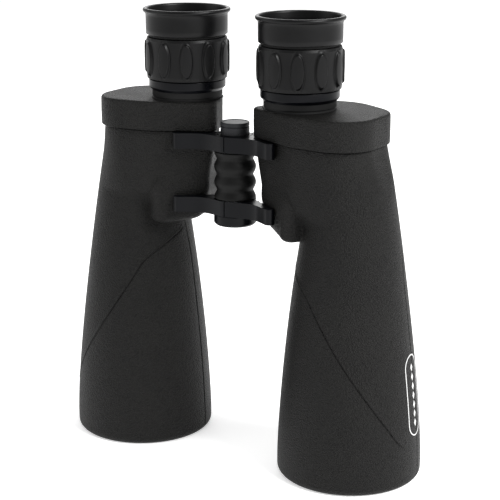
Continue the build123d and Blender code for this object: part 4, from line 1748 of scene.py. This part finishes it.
@dataclass
class Studio:
    """Pale floor, soft lights and the camera.

    Args:
        camera_place: the camera's position, in millimetres.
        bearing: direction that the camera looks in, degrees left of +Y.
        dip: how far it looks down, in degrees.
        lens: focal length on a 36 mm sensor.
    """

    camera_place: tuple[float, float, float] = (447.45, -734.0, 366.4)
    bearing: float = 31.07
    dip: float = 15.62
    lens: float = 105.68

    def light(self, name: str, place: tuple[float, float, float], aim: tuple[float, float, float],
              size: float, power: float) -> None:
        """Add one square area light.

        Args:
            name: its name.
            place: its position, in metres.
            aim: what it points at, in metres.
            size: length of its side, in metres.
            power: its power, in watts.
        """
        data = bpy.data.lights.new(name, "AREA")
        data.size = size
        data.energy = power
        lamp = bpy.data.objects.new(name, data)
        direction = np.array(aim) - np.array(place)
        flat = math.hypot(direction[0], direction[1])
        lamp.location = place
        pitch = math.pi / 2 + math.atan2(direction[2], flat)
        lamp.rotation_euler = (pitch, 0, math.atan2(-direction[0], direction[1]))
        bpy.context.scene.collection.objects.link(lamp)

    def build(self) -> None:
        """Set up floor, world, lights and camera."""
        scene = bpy.context.scene
        floor_mesh = bpy.data.meshes.new("floor")
        reach = 40.0
        corners = [(-reach, -reach, 0), (reach, -reach, 0), (reach, reach, 0), (-reach, reach, 0)]
        floor_mesh.from_pydata(corners, [], [(0, 1, 2, 3)])
        floor = bpy.data.objects.new("floor", floor_mesh)
        scene.collection.objects.link(floor)
        paint = Paint("pale_floor", Roughness=0.9, Specular_IOR_Level=0.1, Emission_Strength=0.46)
        paint.shader.inputs["Base Color"].default_value = (0.95, 0.95, 0.95, 1.0)
        paint.shader.inputs["Emission Color"].default_value = (1.0, 1.0, 1.0, 1.0)
        floor_mesh.materials.append(paint.material)
        world = bpy.data.worlds.new("studio")
        world.use_nodes = True
        world.node_tree.nodes["Background"].inputs[0].default_value = (1.0, 1.0, 1.0, 1.0)
        world.node_tree.nodes["Background"].inputs[1].default_value = 0.55
        scene.world = world
        self.light("key", (1.38, -0.2, 1.3), (0.0, 0.0, 0.12), 0.8, 46.0)
        self.light("fill", (-1.3, -1.0, 0.9), (0.0, 0.0, 0.12), 1.2, 6.0)
        self.light("back", (-0.95, 1.55, 1.15), (0.0, 0.0, 0.2), 1.3, 14.0)
        data = bpy.data.cameras.new("camera")
        data.lens = self.lens
        data.sensor_width = 36.0
        data.clip_start = 0.01
        camera = bpy.data.objects.new("camera", data)
        camera.location = tuple(v * MM for v in self.camera_place)
        camera.rotation_euler = (math.radians(90 - self.dip), 0, math.radians(self.bearing))
        scene.collection.objects.link(camera)
        scene.camera = camera
        scene.view_settings.view_transform = "Standard"


def dress_packed_nodes(frame: dict[str, Any], finishes: Finishes) -> None:
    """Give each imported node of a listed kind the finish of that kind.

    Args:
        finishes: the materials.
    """
    by_kind = {
        "barrel": Finish.INSIDE, "prism_housing": Finish.CASTING, "cover_plate": Finish.CASTING,
        "cover_screws": Finish.STEEL, "prism_shelf": Finish.CASTING, "upper_prism": Finish.PRISM,
        "lower_prism": Finish.PRISM, "prism_straps": Finish.STEEL, "objective_ring": Finish.INSIDE,
        "flint_lens": Finish.PRISM, "focus_ring": Finish.ANODISED, "ocular_seal": Finish.CUP,
        "field_stop": Finish.INSIDE, "field_lens": Finish.PRISM, "arm_screws": Finish.STEEL,
        "hinge_axle": Finish.STEEL, "tension_nut": Finish.STEEL, "thrust_washers": Finish.STEEL,
    }
    for name, node in frame["nodes"].items():
        kind = name.split("_", 1)[1] if name.startswith(("left_", "right_")) else name
        if kind in by_kind:
            finishes.dress(node, by_kind[kind])
            log.info("%s: packed node dressed", name)


def main() -> None:
    """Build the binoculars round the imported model, one sub-assembly at a time."""
    logging.basicConfig(level=logging.INFO, format="%(name)s: %(message)s")
    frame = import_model()
    shop = Shop(Layout.read(), Finishes())
    Studio().build()
    dress_packed_nodes(frame, shop.finishes)
    shell = Shell()
    for side in Side:
        shell.build(shop, side)
        Badge(shell).build(shop, side)
        Eyepiece().build(shop, side)
        Objective().build(shop, side)
    Hinge().build(shop)


if __name__ == "__main__":
    main()
